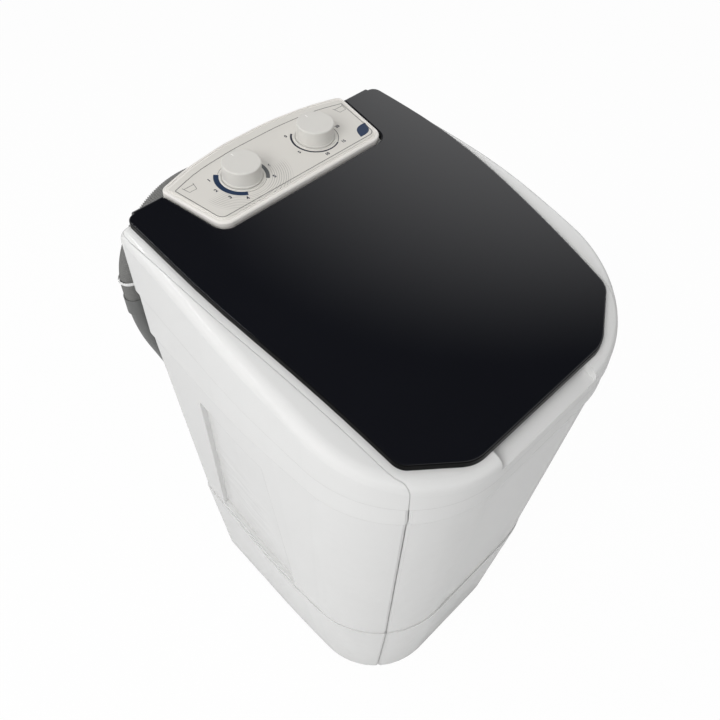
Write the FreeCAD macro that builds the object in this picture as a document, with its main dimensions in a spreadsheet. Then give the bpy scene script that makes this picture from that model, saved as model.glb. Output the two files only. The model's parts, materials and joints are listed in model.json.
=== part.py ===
"""Top-loading semi-automatic washing machine with a domed lid, two knobs and a drain hose.

Frame: +Z up, front towards -Y. Everything is drawn about the axis of the wash tub, and the finished
pieces are moved so that the origin is on the floor under the middle of the machine's box. Millimetres.
"""
import FreeCAD, Part
import Sketcher
import math
import os

from FreeCAD import Placement, Rotation, Vector

doc = FreeCAD.newDocument("washing_machine")
sheet = doc.addObject("Spreadsheet::Sheet", "sizes")


# Driving dimensions
SIZES = {
    # Cabinet outline at the skirt, the widest level
    "skirt_level": 712, "skirt_half_width": 273, "skirt_corner_half_width": 270,
    "skirt_back_half_width": 250, "skirt_front": 281, "skirt_corner_radius": 175,
    # Cabinet outline where the tapered walls meet the base
    "base_level": 255, "base_half_width": 242, "base_corner_half_width": 239,
    "base_back_half_width": 219, "base_front": 221, "base_corner_radius": 147,
    # Base outline near the floor
    "foot_height": 6, "floor_half_width": 213, "floor_corner_half_width": 212,
    "floor_back_half_width": 202, "floor_front": 189, "floor_corner_radius": 129,
    # Cabinet walls
    "box_middle": 29, "cabinet_back": 274, "back_corner_radius": 14, "least_radius": 1.5,
    "side_bow_reach": 60, "side_widest": 25, "wall": 3.5,
    "skirt_step": 3, "shoulder_radius": 18, "seam_gap": 1.2, "seam_ahead": 4.8, "seam_reach": 125,
    "seam_land": 4, "seam_land_depth": 0.7, "seam_throat": 1.6, "seam_throat_depth": 1.8,
    "rim_gap": 0.4, "corner_round": 3,
    "crease_mid_level": 775,
    "crease_slope": 5.7, "base_step": 2, "base_wall": 4, "base_floor": 5, "tray_height": 48,
    # Panel recess in each side wall
    "recess_depth": 8, "recess_top_front": 0, "recess_top_back": 156, "recess_low_front": -14,
    "recess_low_back": 204, "recess_top_level": 642, "recess_low_level": 267,
    # Lid, a domed tray: heights of its top at the back, above the tub axis and at the front
    "lid_back": 268, "lid_front": 263, "lid_back_height": 919.5, "lid_mid_height": 881,
    "lid_front_height": 798.5, "lid_back_half_width": 235, "lid_half_width": 241,
    "lid_widest": 90, "lid_corner_half_width": 213, "lid_corner": 211, "lid_nose_half_width": 133,
    "lid_corner_radius": 18, "lid_thickness": 10.5, "lid_wall": 3, "lid_edge_step": 3,
    "lid_bow_reach": 65, "lid_rear_radius": 14, "lid_seat_gap": 0.5, "rim_width": 9.5, "rim_reach": 3,
    "finger_half_width": 100, "finger_depth": 14, "finger_reach": 25,
    # Hinge
    "hinge_drop": 8, "hinge_barrel_radius": 8, "hinge_pin_radius": 4, "hinge_pin_length": 58,
    "running_gap": 0.05, "part_gap": 2.5,
    # Console
    "console_front": 165.5, "console_half_width": 151.5, "console_rear": 279,
    "console_rear_half_width": 170.5, "console_bulge": 25, "console_corner_radius": 22,
    "console_mid": 227, "console_rise": 3.6,
    "console_lip": 14, "console_depth": 55, "console_inset": 6, "console_wall": 3,
    "overlay_inset": 11, "overlay_thickness": 1.2,
    "knob_spacing": 138, "knob_radius": 28.5, "knob_top_radius": 27.5, "knob_height": 27,
    "knob_lift": 0.6, "stem_radius": 3, "stem_length": 26, "switch_radius": 20, "switch_depth": 32,
    # Wash tub and collar
    "tub_level": 740, "tub_bottom": 330, "tub_radius": 205, "tub_bottom_radius": 186, "tub_wall": 4,
    "tub_flange": 14, "collar_half_width": 200, "collar_front": 225, "collar_back": 110,
    "collar_corner_radius": 70, "collar_top": 960, "drain_hole_radius": 13,
    # Drive
    "shaft_radius": 10, "shaft_low": 190, "bush_radius": 16, "bush_length": 24,
    "housing_radius": 30, "housing_flange_radius": 75, "housing_flange": 12, "housing_low": 236,
    "housing_neck_radius": 24, "housing_neck": 12, "seal_height": 5,
    "pulsator_radius": 150, "pulsator_lift": 16, "pulsator_height": 26, "pulsator_plate": 6,
    "vane_length": 118, "vane_width": 12, "vane_height": 15, "cap_radius": 20, "cap_height": 9,
    "pulley_radius": 105, "motor_pulley_radius": 30, "pulley_width": 18, "belt_width": 9,
    "belt_thickness": 7, "belt_level": 206, "belt_gap": 0.4, "belt_centres": 165,
    "motor_radius": 58, "motor_low": 62, "motor_plate_level": 178, "motor_plate": 4,
    "motor_plate_width": 190, "motor_plate_depth": 150, "motor_boss_radius": 18, "motor_boss": 10,
    "motor_shaft_radius": 7, "motor_shaft_length": 112, "post_radius": 10, "post_inset": 14,
    "capacitor_radius": 20, "capacitor_height": 70, "capacitor_x": 130, "capacitor_y": 60,
    # Back panel and what it carries
    "back_panel_half_width": 150, "back_panel_top": 860, "panel_gap": 0.6,
    "gland_x": 105, "gland_level": 190, "gland_radius": 9, "gland_bore_radius": 4.5,
    # Drain pipe and hose, in one upright plane behind the cabinet
    "hose_plane": 318, "hose_radius": 16, "hose_root_radius": 14.4, "hose_bore_radius": 12.4,
    "rib_pitch": 3.2, "hose_x": 230, "arch_level": 761, "arch_radius": 125, "hose_end_level": 683,
    "joint_level": 729, "pipe_radius": 15, "pipe_wall": 2.5, "outlet_x": 125, "outlet_level": 232,
    "pipe_foot_level": 262, "pipe_lean": 16, "pipe_bend_radius": 350, "pipe_foot_radius": 200,
    "outlet_bend_radius": 30, "cuff_radius": 17.4, "cuff_length": 30, "clip_level": 773, "clip_gap": 2,
    "clip_height": 9, "clip_wall": 3.2, "clip_arm_width": 14, "drain_y": 60,
    # Small fasteners
    "slot_front": -40, "slot_back": 150, "slot_length": 24, "slot_height": 6, "slot_level": 704,
    "front_slot_reach": 20,
    "screw_radius": 4.5, "screw_head": 2.4, "foot_radius": 19, "foot_foot_radius": 16,
}


class Size:
    """A number that remembers the sheet expression it came from."""

    def __init__(self, value, text):
        self.value = float(value)
        self.text = text

    def __add__(self, other):
        other = as_size(other)
        return Size(self.value + other.value, "(%s + %s)" % (self.text, other.text))

    def __radd__(self, other):
        return as_size(other) + self

    def __sub__(self, other):
        other = as_size(other)
        return Size(self.value - other.value, "(%s - %s)" % (self.text, other.text))

    def __rsub__(self, other):
        return as_size(other) - self

    def __mul__(self, factor):
        factor = as_size(factor)
        return Size(self.value * factor.value, "(%s * %s)" % (self.text, factor.text))

    __rmul__ = __mul__

    def __truediv__(self, factor):
        factor = as_size(factor)
        return Size(self.value / factor.value, "(%s / %s)" % (self.text, factor.text))

    def __neg__(self):
        return Size(-self.value, "(-%s)" % self.text)

    def slope_angle(self):
        return Size(math.degrees(math.atan(self.value)), "atan(%s)" % self.text)


def as_size(number):
    return number if isinstance(number, Size) else Size(number, repr(float(number)))


class Sizes:
    """Named sizes read back from the sheet."""


def fill_sheet():
    sizes = Sizes()
    for row, (alias, value) in enumerate(SIZES.items(), start=1):
        sheet.set("A%d" % row, alias)
        sheet.set("B%d" % row, str(value))
        sheet.setAlias("B%d" % row, alias)
    doc.recompute()
    for alias in SIZES:
        setattr(sizes, alias, Size(sheet.get(alias), "sizes." + alias))
    return sizes


s = fill_sheet()
parts = {}
HIGH = s.collar_top.value

# Place and tilt of the console, which follows the dome: height = mid + slope * y + bend * y * y
BACK_RISE = (s.lid_back_height - s.lid_mid_height) / s.lid_back
FRONT_RISE = (s.lid_front_height - s.lid_mid_height) / s.lid_front
DOME_BEND = (BACK_RISE + FRONT_RISE) / (s.lid_back + s.lid_front)
DOME_SLOPE = BACK_RISE - DOME_BEND * s.lid_back
CONSOLE_HEIGHT = (s.lid_mid_height + DOME_SLOPE * s.console_mid
                  + DOME_BEND * s.console_mid * s.console_mid + s.console_rise)
CONSOLE_TILT = (DOME_SLOPE + 2 * DOME_BEND * s.console_mid).slope_angle()


# Helpers for bound objects
def bind(obj, **sizes):
    for name, amount in sizes.items():
        obj.setExpression(name.replace("_of_", "."), as_size(amount).text)
    return obj


def place(obj, x=0, y=0, z=0, axis=None, angle=0):
    """Put an object at x, y, z, turned by an angle about an axis."""
    if axis is not None:
        obj.Placement = Placement(Vector(0, 0, 0), Rotation(axis, as_size(angle).value))
        bind(obj, Placement_of_Rotation_of_Angle=angle)
    return bind(obj, Placement_of_Base_of_x=x, Placement_of_Base_of_y=y, Placement_of_Base_of_z=z)


def keep(label, obj):
    obj.Label = label
    parts[label] = obj
    return obj


def feature(label, shape):
    obj = doc.addObject("Part::Feature", label)
    obj.Shape = shape
    return keep(label, obj)


def cylinder(name, radius, height):
    return bind(doc.addObject("Part::Cylinder", name), Radius=radius, Height=height)


def box(name, length, width, height):
    return bind(doc.addObject("Part::Box", name), Length=length, Width=width, Height=height)


def cut(name, base, tool):
    obj = doc.addObject("Part::Cut", name)
    obj.Base = base
    obj.Tool = tool
    return obj


def fuse(name, pieces):
    obj = doc.addObject("Part::MultiFuse", name)
    obj.Shapes = pieces
    return obj


def group(label, pieces):
    obj = doc.addObject("Part::Compound", label)
    obj.Links = pieces
    return keep(label, obj)


def new_body(label):
    body = doc.addObject("PartDesign::Body", label)
    return keep(label, body)


def sketch_on(body, role, points):
    """Closed polygon sketch on an origin plane, each corner bound to its two sizes."""
    sketch = body.newObject("Sketcher::SketchObject", body.Name + "_sketch")
    plane = [item for item in body.Origin.OriginFeatures if item.Role == role][0]
    sketch.AttachmentSupport = [(plane, "")]
    sketch.MapMode = "FlatFace"
    corners = [(as_size(a), as_size(b)) for a, b in points]
    count = len(corners)
    for i, (a, b) in enumerate(corners):
        after = corners[(i + 1) % count]
        start = Vector(a.value, b.value, 0)
        end = Vector(after[0].value, after[1].value, 0)
        sketch.addGeometry(Part.LineSegment(start, end))
    for i in range(count):
        sketch.addConstraint(Sketcher.Constraint("Coincident", i, 2, (i + 1) % count, 1))
    for i, corner in enumerate(corners):
        for kind, axis_line, amount in (("DistanceX", -2, corner[0]), ("DistanceY", -1, corner[1])):
            if amount.value == 0:
                sketch.addConstraint(Sketcher.Constraint("PointOnObject", i, 1, axis_line))
                continue
            ends = (-1, 1, i, 1) if amount.value > 0 else (i, 1, -1, 1)
            amount = amount if amount.value > 0 else -amount
            index = sketch.addConstraint(Sketcher.Constraint(kind, *ends, amount.value))
            sketch.setExpression("Constraints[%d]" % index, amount.text)
    return sketch


def turned(label, profile):
    """Body turned about its own Z axis from a radius and height profile."""
    body = new_body(label)
    sketch = sketch_on(body, "XZ_Plane", profile)
    turn = body.newObject("PartDesign::Revolution", label + "_turn")
    turn.Profile = sketch
    turn.ReferenceAxis = (sketch, ["V_Axis"])
    turn.Angle = 360
    return body


# Outlines in plan
def rounded_wire(points, level):
    """Closed wire through corners given as x, y, radius, at one level."""
    edges = []
    count = len(points)
    ends = []
    for i, (x, y, radius) in enumerate(points):
        here = Vector(x, y, level)
        before = Vector(points[i - 1][0], points[i - 1][1], level) - here
        after = Vector(points[(i + 1) % count][0], points[(i + 1) % count][1], level) - here
        before.normalize()
        after.normalize()
        half = before.getAngle(after) / 2
        reach = radius / math.tan(half)
        middle = before + after
        middle.normalize()
        dip = radius / math.sin(half) - radius
        ends.append((here + before * reach, here + middle * dip, here + after * reach))
    for i in range(count):
        start, mid, end = ends[i]
        edges.append(Part.Arc(start, mid, end).toShape())
        edges.append(Part.LineSegment(end, ends[(i + 1) % count][0]).toShape())
    return Part.Wire(edges)


def mirrored(right):
    return right + [(-x, y, radius) for x, y, radius in reversed(right)]


def cabinet_outline(level, inset=0.0, flare=0.0):
    """Plan of the cabinet at the skirt, base or floor, less an inset; a flare widens all but the back."""
    def of(name):
        return getattr(s, level + "_" + name).value + flare - inset
    back = s.cabinet_back.value
    front_corner = (of("corner_half_width"), -of("front"))
    side = (of("half_width"), s.side_widest.value)
    back_corner = (of("back_half_width"), back - inset)
    return mirrored([
        front_corner + (of("corner_radius"),),
        side + (bow_radius(front_corner, side, back_corner, s.side_bow_reach.value),),
        back_corner + (max(s.back_corner_radius.value - inset, s.least_radius.value),)])


def bow_radius(before, at, after, reach):
    """Radius of the bow at a shallow corner, which starts and ends a reach away from it."""
    here = Vector(at[0], at[1], 0)
    angle = (Vector(before[0], before[1], 0) - here).getAngle(Vector(after[0], after[1], 0) - here)
    return reach * math.tan(angle / 2)


def lid_outline(grow=0.0, back_grow=0.0):
    """Plan of the lid, grown all round, and further at the back."""
    radius = s.lid_corner_radius.value + grow
    corner = (s.lid_corner_half_width.value + grow, -s.lid_corner.value - grow * 0.5)
    side = (s.lid_half_width.value + grow, s.lid_widest.value)
    rear = (s.lid_back_half_width.value + grow, s.lid_back.value + back_grow)
    return mirrored([
        (s.lid_nose_half_width.value + grow * 0.5, -s.lid_front.value - grow, radius),
        corner + (radius,),
        side + (bow_radius(corner, side, rear, s.lid_bow_reach.value),),
        rear + (s.lid_rear_radius.value,)])


def console_outline(inset=0.0):
    """Plan of the console about its own middle; the back edge bulges in three flats rounded off."""
    mid = s.console_mid.value
    rear = s.console_rear.value - mid - inset
    half = s.console_rear_half_width.value - inset
    bulge = s.console_bulge.value
    bow = s.console_rear_half_width.value * 1.7
    return mirrored([
        (s.console_half_width.value - inset, s.console_front.value - mid + inset,
         max(s.console_corner_radius.value - inset, 2.0)),
        (half, rear, max(s.console_corner_radius.value / 2 - inset, 1.5)),
        (half * 0.69, rear + bulge * 0.6, bow),
        (half * 0.26, rear + bulge, bow)])


def prism(points, low, high):
    return Part.Face(rounded_wire(points, low)).extrude(Vector(0, 0, high - low))


def loft(low_points, low, high_points, high):
    wires = [rounded_wire(low_points, low), rounded_wire(high_points, high)]
    return Part.makeLoft(wires, True, True)


def block(x0, x1, y0, y1, z0, z1):
    return Part.makeBox(x1 - x0, y1 - y0, z1 - z0, Vector(x0, y0, z0))


# The dome that the lid, rim and shoulders follow
def circle_through(a, b, c):
    arc = Part.Circle(*[Vector(0, y, z) for y, z in (a, b, c)])
    return arc.Center, arc.Radius


DOME_CENTRE, DOME_RADIUS = circle_through(
    (s.lid_back.value, s.lid_back_height.value), (0.0, s.lid_mid_height.value),
    (-s.lid_front.value, s.lid_front_height.value))


def under_dome(drop):
    """Everything that lies at least a drop under the lid's top surface."""
    length = 4 * s.skirt_half_width.value
    start = DOME_CENTRE + Vector(-length / 2, 0, 0)
    return Part.makeCylinder(DOME_RADIUS - drop, length, start, Vector(1, 0, 0))


def dome_level(y):
    return DOME_CENTRE.z + math.sqrt(DOME_RADIUS ** 2 - (y - DOME_CENTRE.y) ** 2)


RIM_DROP = s.lid_thickness.value + s.lid_seat_gap.value


def rounded_top(solid, drop, radius):
    """Round the edge where upright walls meet the domed top."""
    edges = []
    for edge in solid.Edges:
        spots = [edge.valueAt(edge.FirstParameter + f * (edge.LastParameter - edge.FirstParameter))
                 for f in (0.0, 0.3, 0.7, 1.0)]
        reach = [math.hypot(p.y - DOME_CENTRE.y, p.z - DOME_CENTRE.z) for p in spots]
        if all(abs(r - (DOME_RADIUS - drop)) < 1e-3 for r in reach):
            edges.append(edge)
    return solid.makeFillet(radius, edges)


# Cabinet shells
def walls(inset):
    """Solid of the whole cabinet above the base, drawn in by an inset from its outer face."""
    step = s.skirt_step.value
    skirt = s.skirt_level.value
    drop = RIM_DROP + inset
    upper = prism(cabinet_outline("skirt", inset), skirt, HIGH).common(under_dome(drop))
    upper = rounded_top(upper, drop, s.shoulder_radius.value - inset)
    crease = block(-HIGH, HIGH, -HIGH, HIGH, -HIGH, 0)
    crease.rotate(Vector(0, 0, 0), Vector(1, 0, 0), s.crease_slope.value)
    crease.translate(Vector(0, 0, s.crease_mid_level.value + inset))
    upper = upper.cut(crease)
    crease_top = crease_level(s.cabinet_back.value) + inset + 1
    band = prism(cabinet_outline("skirt", step + inset), skirt + inset, crease_top)
    band = band.common(under_dome(drop + s.shoulder_radius.value))
    lower = loft(cabinet_outline("base", inset), s.base_level.value,
                 cabinet_outline("skirt", 2 * step + inset), skirt)
    neck = prism(cabinet_outline("skirt", 2 * step + inset), skirt, skirt + inset + 1)
    base = s.base_level.value
    plinth = loft(cabinet_outline("floor", inset), s.foot_height.value,
                  cabinet_outline("base", inset, s.base_step.value), base)
    plinth = plinth.cut(block(-HIGH, HIGH, -HIGH, HIGH, base - inset, HIGH))
    waist = prism(cabinet_outline("base", inset), base - inset - 1, base)
    return upper.fuse([band, lower, neck, plinth, waist]).removeSplitter()


def crease_level(y):
    return s.crease_mid_level.value + y * math.tan(math.radians(s.crease_slope.value))


def side_recess(grow):
    """Both side panel recesses, grown by a wall for the inside."""
    front_low = Vector(0, s.recess_low_front.value - grow, s.recess_low_level.value - grow)
    back_low = Vector(0, s.recess_low_back.value + grow, s.recess_low_level.value - grow)
    back_top = Vector(0, s.recess_top_back.value + grow, s.recess_top_level.value + grow)
    front_top = Vector(0, s.recess_top_front.value - grow, s.recess_top_level.value + grow)
    reach = 2 * s.skirt_half_width.value
    face = Part.Face(Part.makePolygon([front_low, back_low, back_top, front_top, front_low]))
    face.translate(Vector(-reach, 0, 0))
    through = face.extrude(Vector(2 * reach, 0, 0))
    depth = s.recess_depth.value + grow
    core = loft(cabinet_outline("base", depth), s.base_level.value,
                cabinet_outline("skirt", 2 * s.skirt_step.value + depth), s.skirt_level.value)
    return through.cut(core)


def finger_recess(grow):
    """Scoop in the front rim, under the lid's front edge, grown by a wall for the inside."""
    half = s.finger_half_width.value + grow
    inner = s.finger_reach.value - s.lid_front.value + grow
    scoop = block(-half, half, -2 * s.skirt_front.value, inner, s.skirt_level.value, HIGH)
    return scoop.cut(under_dome(RIM_DROP + s.finger_depth.value + grow))


def collar_outline(inset):
    corner = s.collar_corner_radius.value - inset
    half = s.collar_half_width.value - inset
    return [(half, inset - s.collar_front.value, corner), (half, s.collar_back.value - inset, corner),
            (-half, s.collar_back.value - inset, corner), (-half, inset - s.collar_front.value, corner)]


def funnel(inset):
    """Solid from the round tub mouth up to the collar's rounded oblong, above the rim."""
    radius = s.tub_radius.value - inset
    mouth = [(radius, -radius, radius * 0.999), (radius, radius, radius * 0.999),
             (-radius, radius, radius * 0.999), (-radius, -radius, radius * 0.999)]
    return loft(mouth, s.tub_level.value, collar_outline(inset), s.collar_top.value)


def console_frame(shape):
    """Set a shape drawn about the console's middle into its tilted place."""
    shape.rotate(Vector(0, 0, 0), Vector(1, 0, 0), CONSOLE_TILT.value)
    shape.translate(Vector(0, s.console_mid.value, CONSOLE_HEIGHT.value))
    return shape


def console_room():
    """Room that the cabinet leaves for the console body, which seats in it."""
    room = prism(console_outline(s.console_inset.value), -s.console_depth.value, s.console_depth.value)
    return console_frame(room)


def seam_corners():
    """Plan points on the corner seam, well outside and inside the cabinet wall."""
    bevel = 1 - math.sqrt(0.5)
    top = Vector(s.skirt_corner_half_width.value - bevel * s.skirt_corner_radius.value,
                 bevel * s.skirt_corner_radius.value - s.skirt_front.value, 0)
    low = Vector(s.floor_corner_half_width.value - bevel * s.floor_corner_radius.value,
                 bevel * s.floor_corner_radius.value - s.floor_front.value, 0)
    ahead = Vector(-s.seam_ahead.value, -s.seam_ahead.value, 0)
    along = top - low
    along.normalize()
    past = s.seam_reach.value
    return top + ahead + along * past, low + ahead - along * past


def plan_solid(points):
    wire = Part.makePolygon(points + [points[0]])
    return Part.Face(wire).extrude(Vector(0, 0, HIGH))


def front_sector():
    outer, inner = seam_corners()
    return plan_solid([outer, Vector(-outer.x, outer.y, 0), Vector(-inner.x, inner.y, 0), inner])


def side_sector():
    """Right-hand side: from the corner seam round to the back panel's edge."""
    outer, inner = seam_corners()
    shift = Vector(s.seam_gap.value, 0, 0)
    far = 3 * s.skirt_half_width.value
    edge = s.back_panel_half_width.value
    return plan_solid([inner + shift, outer + shift, Vector(far, outer.y, 0), Vector(far, far, 0),
                       Vector(edge, far, 0), Vector(edge, 0, 0)])


def corner_zone(grow):
    """Rounding of the side panel's upper front corner, from the rim line out to the corner seam."""
    outer, inner = seam_corners()
    ahead = outer - inner
    ahead.normalize()
    seam = outer - ahead * s.seam_reach.value
    rim = Vector(s.lid_corner_half_width.value + s.rim_width.value, -s.lid_corner.value, 0)
    foot = seam + ahead * s.seam_land.value
    across = Vector((rim - foot).y, (foot - rim).x, 0)
    across.normalize()
    middle = (rim + foot) / 2 - across * s.corner_round.value
    behind = seam - ahead * (rim - seam).Length
    zone = plan_solid([p + across * grow for p in (foot, middle, rim, behind)])
    zone = zone.common(block(-HIGH, HIGH, -HIGH, HIGH, crease_level(-s.skirt_front.value), HIGH))
    return zone.fuse(zone.mirror(Vector(0, 0, 0), Vector(1, 0, 0)))


def seam_groove(half_width, depth):
    """Step along both corner seams, under the crease, this far each side of the gap and this deep."""
    outer, inner = seam_corners()
    left = Vector(-half_width, 0, 0)
    right = Vector(s.seam_gap.value + half_width, 0, 0)
    slab = plan_solid([inner + left, outer + left, outer + right, inner + right])
    slab = slab.common(block(-HIGH, HIGH, -HIGH, HIGH, 0, crease_level(-s.skirt_front.value)))
    return slab.fuse(slab.mirror(Vector(0, 0, 0), Vector(1, 0, 0))).cut(walls(depth))


def rim_zone(grow):
    """Top skin and a reach under it, inside the rim line that runs a rim width outside the lid."""
    zone = prism(lid_outline(s.rim_width.value + grow, s.cabinet_back.value), s.skirt_level.value, HIGH)
    return zone.cut(under_dome(RIM_DROP + s.wall.value + s.rim_reach.value + grow))


def clip_slots():
    """Slots for the clips that hold the side panel, through the skirt band."""
    reach = 2 * s.skirt_half_width.value
    half = s.slot_length.value / 2
    low = s.slot_level.value
    slots = [block(0, reach, y - half, y + half, low, low + s.slot_height.value)
             for y in (s.slot_front.value, s.slot_back.value)]
    return Part.makeCompound(slots)


def front_slot():
    """Slot in the middle of the front, level with the side panels' slots."""
    half = s.slot_length.value / 2
    low = s.slot_level.value
    front = s.skirt_front.value
    return block(-half, half, -2 * front, s.front_slot_reach.value - front, low, low + s.slot_height.value)


def make_cabinet():
    wall = s.wall.value
    outer = walls(0.0).cut(side_recess(0.0)).cut(finger_recess(0.0))
    inner = walls(wall).cut(side_recess(wall)).cut(finger_recess(wall))
    shell = outer.cut(inner).cut(funnel(s.tub_wall.value)).cut(console_room()).cut(hinge_pockets())
    for half_width, depth in ((s.seam_land.value, s.seam_land_depth.value),
                              (s.seam_throat.value, s.seam_throat_depth.value)):
        shell = shell.cut(seam_groove(half_width, depth))
    front_part = front_sector().fuse([rim_zone(0.0), corner_zone(0.0)])
    feature("front_shell", shell.common(front_part).cut(front_slot()).removeSplitter())
    side = shell.common(side_sector()).cut(rim_zone(s.rim_gap.value)).cut(corner_zone(s.rim_gap.value))
    side = side.cut(clip_slots()).removeSplitter()
    feature("right_side_panel", side)
    feature("left_side_panel", side.mirror(Vector(0, 0, 0), Vector(1, 0, 0)))


def make_base():
    """Base tray inside the foot of the cabinet, with a floor, a low wall and four motor posts."""
    low, top = s.foot_height.value, s.base_level.value
    inset, thick = s.wall.value, s.base_wall.value
    floor = low + s.base_floor.value
    step = s.base_step.value
    tray = loft(cabinet_outline("floor", inset), low, cabinet_outline("base", inset, step), top)
    room = loft(cabinet_outline("floor", inset + thick), low,
                cabinet_outline("base", inset + thick, step), top)
    tray = tray.cut(room.cut(block(-HIGH, HIGH, -HIGH, HIGH, 0, floor)))
    tray = tray.cut(block(-HIGH, HIGH, -HIGH, HIGH, s.tray_height.value, HIGH))
    height = s.motor_plate_level.value - floor
    posts = [Part.makeCylinder(s.post_radius.value, height, Vector(x, y, floor)) for x, y in post_places()]
    feature("base_tray", tray.fuse(posts).removeSplitter())


def post_places():
    dx = s.motor_plate_width.value / 2 - s.post_inset.value
    dy = s.motor_plate_depth.value / 2 - s.post_inset.value
    mid = s.belt_centres.value
    return [(x, mid + y) for x in (-dx, dx) for y in (-dy, dy)]


def make_collar():
    """Splash collar from the tub mouth up to the rim opening."""
    wall = s.tub_wall.value
    skin = funnel(0.0).cut(funnel(wall)).common(under_dome(RIM_DROP + s.wall.value))
    level = s.tub_level.value
    flange = Part.makeCylinder(s.tub_radius.value + s.tub_flange.value, wall, Vector(0, 0, level))
    flange = flange.cut(funnel(wall / 2))
    feature("tub_collar", skin.fuse(flange).removeSplitter())


def along_hinge(radius, low, high):
    """Cylinder on the hinge axis between two x places."""
    start = Vector(low, s.lid_back.value, s.lid_back_height.value - s.hinge_drop.value)
    return Part.makeCylinder(radius, high - low, start, Vector(1, 0, 0))


def barrel_ends():
    """Inner and outer x of the lid's right hinge barrel."""
    return (s.console_rear_half_width.value + s.part_gap.value,
            s.lid_back_half_width.value - s.lid_rear_radius.value)


def hinge_pockets():
    """Room round both hinge barrels in the rim."""
    inner, outer = barrel_ends()
    gap = s.part_gap.value
    radius = s.hinge_barrel_radius.value + gap
    right = along_hinge(radius, inner - gap, outer + gap)
    return right.fuse(along_hinge(radius, -outer - gap, gap - inner))


def make_lid():
    """Domed tray lid with an arm each side of the console and a hinge barrel in each arm."""
    edge = s.lid_edge_step.value
    skin = prism(lid_outline(), s.skirt_level.value, HIGH).common(under_dome(edge))
    top = prism(lid_outline(-edge), s.skirt_level.value, HIGH).common(under_dome(0.0))
    hollow = prism(lid_outline(-edge - s.lid_wall.value), s.skirt_level.value, HIGH)
    hollow = hollow.common(under_dome(s.lid_wall.value))
    body = skin.fuse(top).cut(under_dome(s.lid_thickness.value)).cut(hollow)
    inner, outer = barrel_ends()
    bars = [along_hinge(s.hinge_barrel_radius.value, low, high)
            for low, high in ((inner, outer), (-outer, -inner))]
    webs = lid_opening(s.lid_wall.value).common(prism(lid_outline(), s.skirt_level.value, HIGH))
    webs = webs.common(under_dome(s.lid_wall.value / 2)).cut(under_dome(s.lid_thickness.value))
    body = body.fuse([webs] + bars).cut(lid_opening(0.0))
    reach = s.skirt_half_width.value
    bore = along_hinge(s.hinge_pin_radius.value + s.running_gap.value, -reach, reach)
    feature("lid", body.cut(bore).removeSplitter())


def lid_opening(grow):
    """Opening in the lid round the console, grown for the edge wall round it."""
    gap = s.part_gap.value + grow
    past = s.console_depth.value
    flare = ((s.console_rear_half_width.value - s.console_half_width.value)
             / (s.console_rear.value - s.console_front.value))
    right = [(s.console_half_width.value + gap, s.console_front.value - gap, s.console_corner_radius.value),
             (s.console_rear_half_width.value + flare * past + gap, s.console_rear.value + past, 1.0)]
    return prism(mirrored(right), s.skirt_level.value, HIGH)


def make_console():
    """Console housing: a lipped box with its top skin, hung in the rim behind the lid."""
    inset = s.console_inset.value
    wall = s.console_wall.value
    lip = prism(console_outline(), -s.console_lip.value, 0)
    tub = prism(console_outline(inset), -s.console_depth.value, -s.console_lip.value)
    room = prism(console_outline(inset + wall), wall - s.console_depth.value, -wall)
    housing = lip.fuse(tub).cut(room)
    hole = s.stem_radius.value + s.part_gap.value
    for x in (-s.knob_spacing.value / 2, s.knob_spacing.value / 2):
        housing = housing.cut(Part.makeCylinder(hole, 2 * wall, Vector(x, 0, -1.5 * wall)))
    housing = console_frame(housing)
    reach = s.skirt_half_width.value
    bore = along_hinge(s.hinge_pin_radius.value + s.running_gap.value, -reach, reach)
    feature("console_body", housing.cut(bore).removeSplitter())
    overlay = prism(console_outline(s.overlay_inset.value), 0, s.overlay_thickness.value)
    for x in (-s.knob_spacing.value / 2, s.knob_spacing.value / 2):
        overlay = overlay.cut(Part.makeCylinder(hole, 4 * s.overlay_thickness.value,
                                                Vector(x, 0, -s.overlay_thickness.value)))
    feature("console_overlay", console_frame(overlay))


def on_console(obj, x):
    return place(obj, x, s.console_mid, CONSOLE_HEIGHT, Vector(1, 0, 0), CONSOLE_TILT)


def make_knob(label, switch_label, x):
    """Knob with its stem, and the switch body that the stem turns in."""
    low = s.overlay_thickness + s.knob_lift
    knob = turned(label, [
        (0, -s.stem_length), (s.stem_radius, -s.stem_length), (s.stem_radius, low),
        (s.knob_radius, low), (s.knob_radius, low + 3), (s.knob_radius - 1, low + 3.5),
        (s.knob_top_radius, s.knob_height - 2.5), (s.knob_top_radius - 2.5, s.knob_height),
        (0, s.knob_height)])
    on_console(knob, x)
    deep = s.console_wall + s.switch_depth
    bore = s.stem_radius + s.running_gap
    switch = turned(switch_label, [
        (0, -deep), (s.switch_radius, -deep), (s.switch_radius, -s.console_wall),
        (bore, -s.console_wall), (bore, -s.stem_length - 1), (0, -s.stem_length - 1)])
    on_console(switch, x)


def make_hinge_pins():
    inner = s.console_rear_half_width - s.console_inset - 2 * s.console_wall - 6
    pins = []
    for name, x in (("left_hinge_pin", -inner - s.hinge_pin_length), ("right_hinge_pin", inner)):
        pin = cylinder(name, s.hinge_pin_radius, s.hinge_pin_length)
        pin.Placement = Placement(Vector(0, 0, 0), Rotation(Vector(0, 1, 0), 90))
        pins.append(place(pin, x, s.lid_back, s.lid_back_height - s.hinge_drop))
    group("hinge_pins", pins)


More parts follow.
